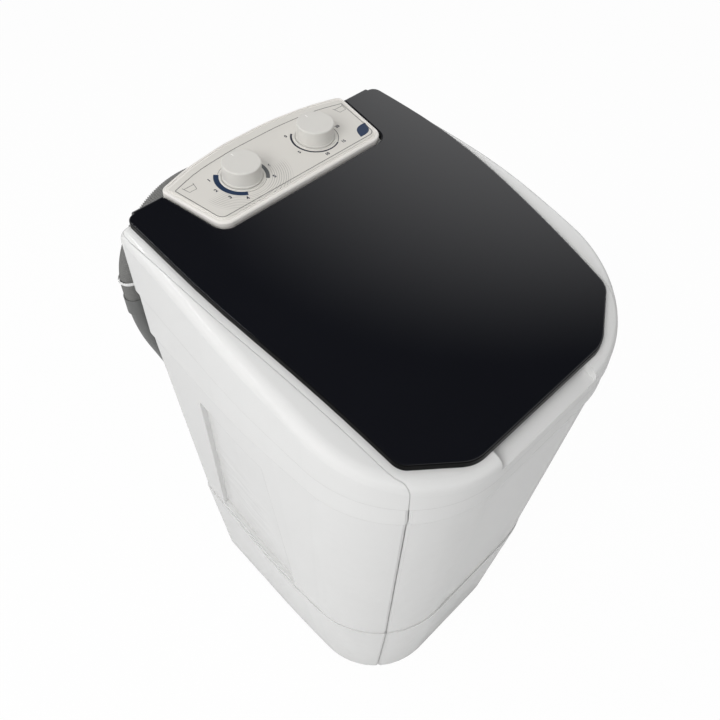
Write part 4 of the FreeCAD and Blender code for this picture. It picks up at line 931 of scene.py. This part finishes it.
class WASHER_OT_hose(bpy.types.Operator):
    """Build the ribbed drain hose along its arch with Geometry Nodes"""
    bl_idname = "washer.hose"
    bl_label = "Drain hose"

    def execute(self, context):
        sizes = context.scene.washer_hose
        curve = bpy.data.curves.new("drain_hose_route", "CURVE")
        curve.dimensions = "3D"
        curve.resolution_u = 64
        spline = curve.splines.new("BEZIER")
        left, radius, level = -sizes.left, sizes.arch_radius, sizes.arch_level
        plane = TUB_AXIS.y + sizes.plane
        bow = radius * QUARTER_HANDLE
        run = sizes.arch_level - sizes.joint_level
        fall = sizes.arch_level - sizes.end_level
        knots = [
            ((left, sizes.joint_level), (0, run / 3), (0, run / 3)),
            ((left, level), (0, run / 3), (0, bow)),
            ((left + radius, level + radius), (bow, 0), (bow, 0)),
            ((left + 2 * radius, level), (0, -bow), (0, -fall / 3)),
            ((left + 2 * radius, sizes.end_level), (0, -fall / 3), (0, -fall / 3))]
        spline.bezier_points.add(len(knots) - 1)
        for point, ((x, z), back, ahead) in zip(spline.bezier_points, knots):
            point.handle_left_type = "FREE"
            point.handle_right_type = "FREE"
            point.co = (x, plane, z)
            point.handle_left = (x - back[0], plane, z - back[1])
            point.handle_right = (x + ahead[0], plane, z + ahead[1])
        route = bpy.data.objects.new("drain_hose_route", curve)
        context.scene.collection.objects.link(route)
        hose = realised("drain_hose_ribbed", route, *ribbed_tube_tree(), {
            "Rib pitch": sizes.pitch, "Crest radius": sizes.crest_radius,
            "Root radius": sizes.root_radius, "Material": finish("grey_hose")})
        wall = hose.modifiers.new("Wall", "SOLIDIFY")
        wall.thickness = sizes.wall
        wall.offset = -1
        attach(hose, "cabinet")
        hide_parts("drain_hose")
        return {"FINISHED"}


STRAP_SIDES = 64
# How far the strap's tail runs into its ring, as a share of the hose's radius
TAIL_REACH = 0.5


class WASHER_OT_strap(bpy.types.Operator):
    """Build the strap that ties the hose to the cabinet"""
    bl_idname = "washer.strap"
    bl_label = "Hose strap"

    def execute(self, context):
        sizes = context.scene.washer_hose
        low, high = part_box("hose_clip")
        middle = (low.z + high.z) / 2
        half = sizes.strap_height / 2
        inner = sizes.crest_radius + sizes.strap_gap
        outer = inner + sizes.strap_thickness
        soft = sizes.strap_edge
        profile = [(inner, -half), (outer - soft, -half), (outer, soft - half), (outer, half - soft),
                   (outer - soft, half), (inner, half)]
        mesh = bmesh.new()
        ring = Matrix.Translation((-sizes.left, TUB_AXIS.y + sizes.plane, middle))
        spun(mesh, profile + profile[:1], STRAP_SIDES, ring)
        # Tail that runs from the ring to the back panel, ending in a flat lug twice as high
        edge = TUB_AXIS.y + sizes.plane - sizes.crest_radius * TAIL_REACH
        left, right = high.x - sizes.strap_tail, high.x
        lug = low.y + sizes.lug
        for front, back, rise in ((lug, edge, half), (low.y, lug, 2 * half)):
            corners = ((left, front), (right, front), (right, back), (left, back))
            tail = rounded_loop([(x, y, sizes.tail_radius) for x, y in corners])
            stacked(mesh, tail, [(0.0, middle - rise), (0.0, middle + rise)])
        finish_piece("hose_strap", mesh, "white_plastic", "cabinet", ["hose_clip"])
        return {"FINISHED"}


def solid_middles(node, reach):
    """Middles of a node's separate solids, each smaller than a reach."""
    groups = []
    for vert in node.data.vertices:
        for group in groups:
            if (group[0] - vert.co).length < reach:
                group.append(vert.co)
                break
        else:
            groups.append([vert.co])
    return [Vector([(min(p[k] for p in group) + max(p[k] for p in group)) / 2 for k in range(3)])
            for group in groups]


# A screw's head in shares of its radius and height: rings of its dome from the foot up, then those of
# its cross, whose arms reach a share of the radius and spread by an angle to each side
SCREW_SIDES = 24
DOME_RINGS = ((1.0, 0.0), (1.0, 0.45), (0.9, 0.75), (0.7, 0.94))
CROSS_RINGS = ((1.0, 1.0), (0.8, 0.45))
CROSS_ARM, CROSS_ANGLE = 0.5, math.radians(15)
SCREW_SEED = 7


def screw_head(radius, height):
    """Domed screw head with a cross recess, about its middle, facing +Y."""
    turns = [2 * math.pi * k / SCREW_SIDES for k in range(SCREW_SIDES)]
    circle = [Vector((math.cos(a), math.sin(a))) for a in turns]
    arm = radius * CROSS_ARM
    half_arm = arm * math.tan(CROSS_ANGLE)
    cross = []
    for spot in circle:
        long, short = max(abs(spot.x), abs(spot.y)), min(abs(spot.x), abs(spot.y))
        cross.append(spot * min(arm / long, half_arm / max(short, 1e-6)))
    mesh = bmesh.new()
    rings = []
    for outline, rows in (([spot * radius for spot in circle], DOME_RINGS), (cross, CROSS_RINGS)):
        for scale, rise in rows:
            y = height * rise - height / 2
            rings.append([mesh.verts.new((p.x * scale, y, -p.y * scale)) for p in outline])
    skinned(mesh, rings)
    bmesh.ops.recalc_face_normals(mesh, faces=mesh.faces)
    return mesh


class WASHER_OT_back(bpy.types.Operator):
    """Set the cross-head screws round the back panel with Geometry Nodes"""
    bl_idname = "washer.back"
    bl_label = "Back panel screws"

    def execute(self, context):
        low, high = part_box("back_panel_screws")
        radius = context.scene.washer_back.screw_radius
        screw = bpy.data.objects.new("one_screw", bpy.data.meshes.new("one_screw"))
        mesh = screw_head(radius, high.y - low.y)
        mesh.to_mesh(screw.data)
        mesh.free()
        spots = bpy.data.objects.new("screw_places", bpy.data.meshes.new("screw_places"))
        spots.data.from_pydata(solid_middles(frame["nodes"]["back_panel_screws"], 4 * radius), [], [])
        for made in (screw, spots):
            context.scene.collection.objects.link(made)
        piece = realised("back_panel_screw_heads", spots, *repeated_tree(), {
            "Piece": screw, "Turn": (0.0, math.tau, 0.0), "Seed": SCREW_SEED,
            "Material": finish("steel")})
        bpy.data.objects.remove(screw)
        piece.data.set_sharp_from_angle(angle=SHARP_ANGLE)
        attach(piece, "cabinet")
        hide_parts("back_panel_screws")
        return {"FINISHED"}


# Studio, in metres, watts and millimetres of lens
FLOOR_REACH = 12.0
FLOOR_DROP = 0.5 * MM
PAPER_GLOW = 0.97
# Lamps: place, aim, power, width and height, and whether gloss mirrors them
LAMPS = {
    "key_softbox": ((-2.5, -0.7, 3.0), (0, 0, 0.6), 61.0, (1.6, 1.6), False),
    "top_softbox": ((0.2, 0.2, 3.4), (0, 0, 0.8), 30.0, (3.0, 3.0), False),
    "strip_light": ((-2.05, 1.37, 2.6), (-0.27, -0.08, 0.83), 9.0, (2.2, 0.12), True)}
CAMERA_FROM_TUB = Vector((-0.596, -0.530, 1.568))
CAMERA_YAW, CAMERA_PITCH = math.radians(45.08), math.radians(48.71)
LENS, SENSOR = 39.0, 36.0
# The walls fade from pale to dark between two heights of the view, given as the sine of its rise
WALL_FADE, WALL_LIGHT, CEILING_LIGHT = (0.28, 0.62), 0.78, 0.012
# The window fades in towards its middle, between two cosines; its gauze dims all but its mirror image
WINDOW_MIDDLE, WINDOW_FADE, WINDOW_LIGHT = (0.908, 0.238, 0.345), (0.734, 0.996), 1.73
GAUZE = 0.4


class WASHER_OT_stage(bpy.types.Operator):
    """Set the floor, the soft studio light and the camera"""
    bl_idname = "washer.stage"
    bl_label = "Stage"

    def execute(self, context):
        scene = context.scene
        mesh = bmesh.new()
        bmesh.ops.create_grid(mesh, x_segments=1, y_segments=1, size=FLOOR_REACH)
        data = bpy.data.meshes.new("studio_floor")
        mesh.to_mesh(data)
        mesh.free()
        data.materials.append(self.floor_material())
        floor = bpy.data.objects.new("studio_floor", data)
        floor.location.z = CAD_BOX[0].z - FLOOR_DROP
        scene.collection.objects.link(floor)
        self.make_world(scene)
        for name, (place, aim, power, size, mirrored_in_gloss) in LAMPS.items():
            lamp = bpy.data.lights.new(name, "AREA")
            lamp.energy = power
            lamp.shape = "RECTANGLE"
            lamp.size, lamp.size_y = size
            holder = bpy.data.objects.new(name, lamp)
            holder.visible_glossy = mirrored_in_gloss
            holder.location = place
            holder.rotation_euler = (Vector(aim) - Vector(place)).to_track_quat("-Z", "Y").to_euler()
            scene.collection.objects.link(holder)
        camera = bpy.data.cameras.new("photo_view")
        camera.sensor_width = SENSOR
        camera.lens = LENS
        holder = bpy.data.objects.new("photo_view", camera)
        holder.location = TUB_AXIS + CAMERA_FROM_TUB
        level = math.cos(CAMERA_PITCH)
        ahead = Vector((math.sin(CAMERA_YAW) * level, math.cos(CAMERA_YAW) * level,
                        -math.sin(CAMERA_PITCH)))
        holder.rotation_euler = ahead.to_track_quat("-Z", "Y").to_euler()
        scene.collection.objects.link(holder)
        scene.camera = holder
        scene.view_settings.view_transform = "Standard"
        return {"FINISHED"}

    def floor_material(self):
        """Matt white paper, seen as plain white, that keeps the machine's shadow."""
        made, tree, shader = new_material("white_studio_paper", linear("#FAFAFA"), 0.9)
        coords = add_node(tree, "ShaderNodeTexCoord")
        grain_bump(tree, shader, coords, grain_mm=2.0, depth_mm=0.05)
        glow = add_node(tree, "ShaderNodeEmission", {"Color": (1, 1, 1, 1), "Strength": 1.0})
        path = add_node(tree, "ShaderNodeLightPath")
        share = add_node(tree, "ShaderNodeMath", {0: path.outputs["Is Camera Ray"], 1: PAPER_GLOW},
                         operation="MULTIPLY")
        mix = add_node(tree, "ShaderNodeMixShader", {0: share.outputs[0], 1: shader.outputs[0],
                                                     2: glow.outputs[0]})
        tree.links.new(mix.outputs[0], tree.nodes["Material Output"].inputs["Surface"])
        return made

    def make_world(self, scene):
        """Pale walls under a dark ceiling, and one wide soft window on the right, hung with gauze, that
        gloss shows in full; plain white where the camera looks past the floor."""
        world = bpy.data.worlds.new("studio")
        world.use_nodes = True
        tree = world.node_tree
        towards = add_node(tree, "ShaderNodeTexCoord").outputs["Generated"]
        axes = add_node(tree, "ShaderNodeSeparateXYZ", {0: towards})
        walls = add_node(tree, "ShaderNodeMapRange", {0: axes.outputs["Z"], 1: WALL_FADE[0],
                                                      2: WALL_FADE[1], 3: WALL_LIGHT, 4: CEILING_LIGHT},
                         interpolation_type="SMOOTHSTEP")
        facing = add_node(tree, "ShaderNodeVectorMath", {0: towards, 1: WINDOW_MIDDLE},
                          operation="DOT_PRODUCT")
        window = add_node(tree, "ShaderNodeMapRange", {0: facing.outputs["Value"], 1: WINDOW_FADE[0],
                                                       2: WINDOW_FADE[1], 3: 0.0, 4: WINDOW_LIGHT},
                          interpolation_type="SMOOTHSTEP")
        path = add_node(tree, "ShaderNodeLightPath").outputs
        gauze = add_node(tree, "ShaderNodeMapRange", {0: path["Is Glossy Ray"], 3: GAUZE, 4: 1.0})
        veiled = add_node(tree, "ShaderNodeMath", {0: window.outputs[0], 1: gauze.outputs[0]},
                          operation="MULTIPLY")
        light = add_node(tree, "ShaderNodeMath", {0: walls.outputs[0], 1: veiled.outputs[0]},
                         operation="MAXIMUM")
        level = add_node(tree, "ShaderNodeMix", {0: path["Is Camera Ray"], 2: light.outputs[0], 3: 1.0})
        backdrop = tree.nodes["Background"]
        backdrop.inputs["Color"].default_value = (1.0, 1.0, 1.0, 1.0)
        tree.links.new(level.outputs[0], backdrop.inputs["Strength"])
        scene.world = world


class WASHER_PT_panel(bpy.types.Panel):
    """Buttons for the machine's pieces"""
    bl_idname = "WASHER_PT_panel"
    bl_label = "Washing machine"
    bl_space_type = "VIEW_3D"
    bl_region_type = "UI"
    bl_category = "Washer"

    def draw(self, context):
        for operator in OPERATORS:
            self.layout.operator(operator.bl_idname)


GROUPS = {"washer_lid": WasherLidSizes, "washer_console": WasherConsoleSizes,
          "washer_knob": WasherKnobSizes, "washer_hose": WasherHoseSizes,
          "washer_back": WasherBackSizes, "washer_colours": WasherColours}
OPERATORS = (WASHER_OT_finishes, WASHER_OT_lid, WASHER_OT_console, WASHER_OT_print, WASHER_OT_knobs,
             WASHER_OT_hose, WASHER_OT_strap, WASHER_OT_back, WASHER_OT_stage)


def register():
    for group in GROUPS.values():
        bpy.utils.register_class(group)
    for name, group in GROUPS.items():
        setattr(bpy.types.Scene, name, bpy.props.PointerProperty(type=group))
    for operator in OPERATORS + (WASHER_PT_panel,):
        bpy.utils.register_class(operator)


def unregister():
    for operator in (WASHER_PT_panel,) + OPERATORS[::-1]:
        bpy.utils.unregister_class(operator)
    for name, group in GROUPS.items():
        delattr(bpy.types.Scene, name)
        bpy.utils.unregister_class(group)


def main():
    register()
    bpy.ops.washer.finishes()
    bpy.ops.washer.lid()
    bpy.ops.washer.console()
    bpy.ops.washer.print()
    bpy.ops.washer.knobs()
    bpy.ops.washer.hose()
    bpy.ops.washer.strap()
    bpy.ops.washer.back()
    bpy.ops.washer.stage()


if __name__ == "__main__":
    main()
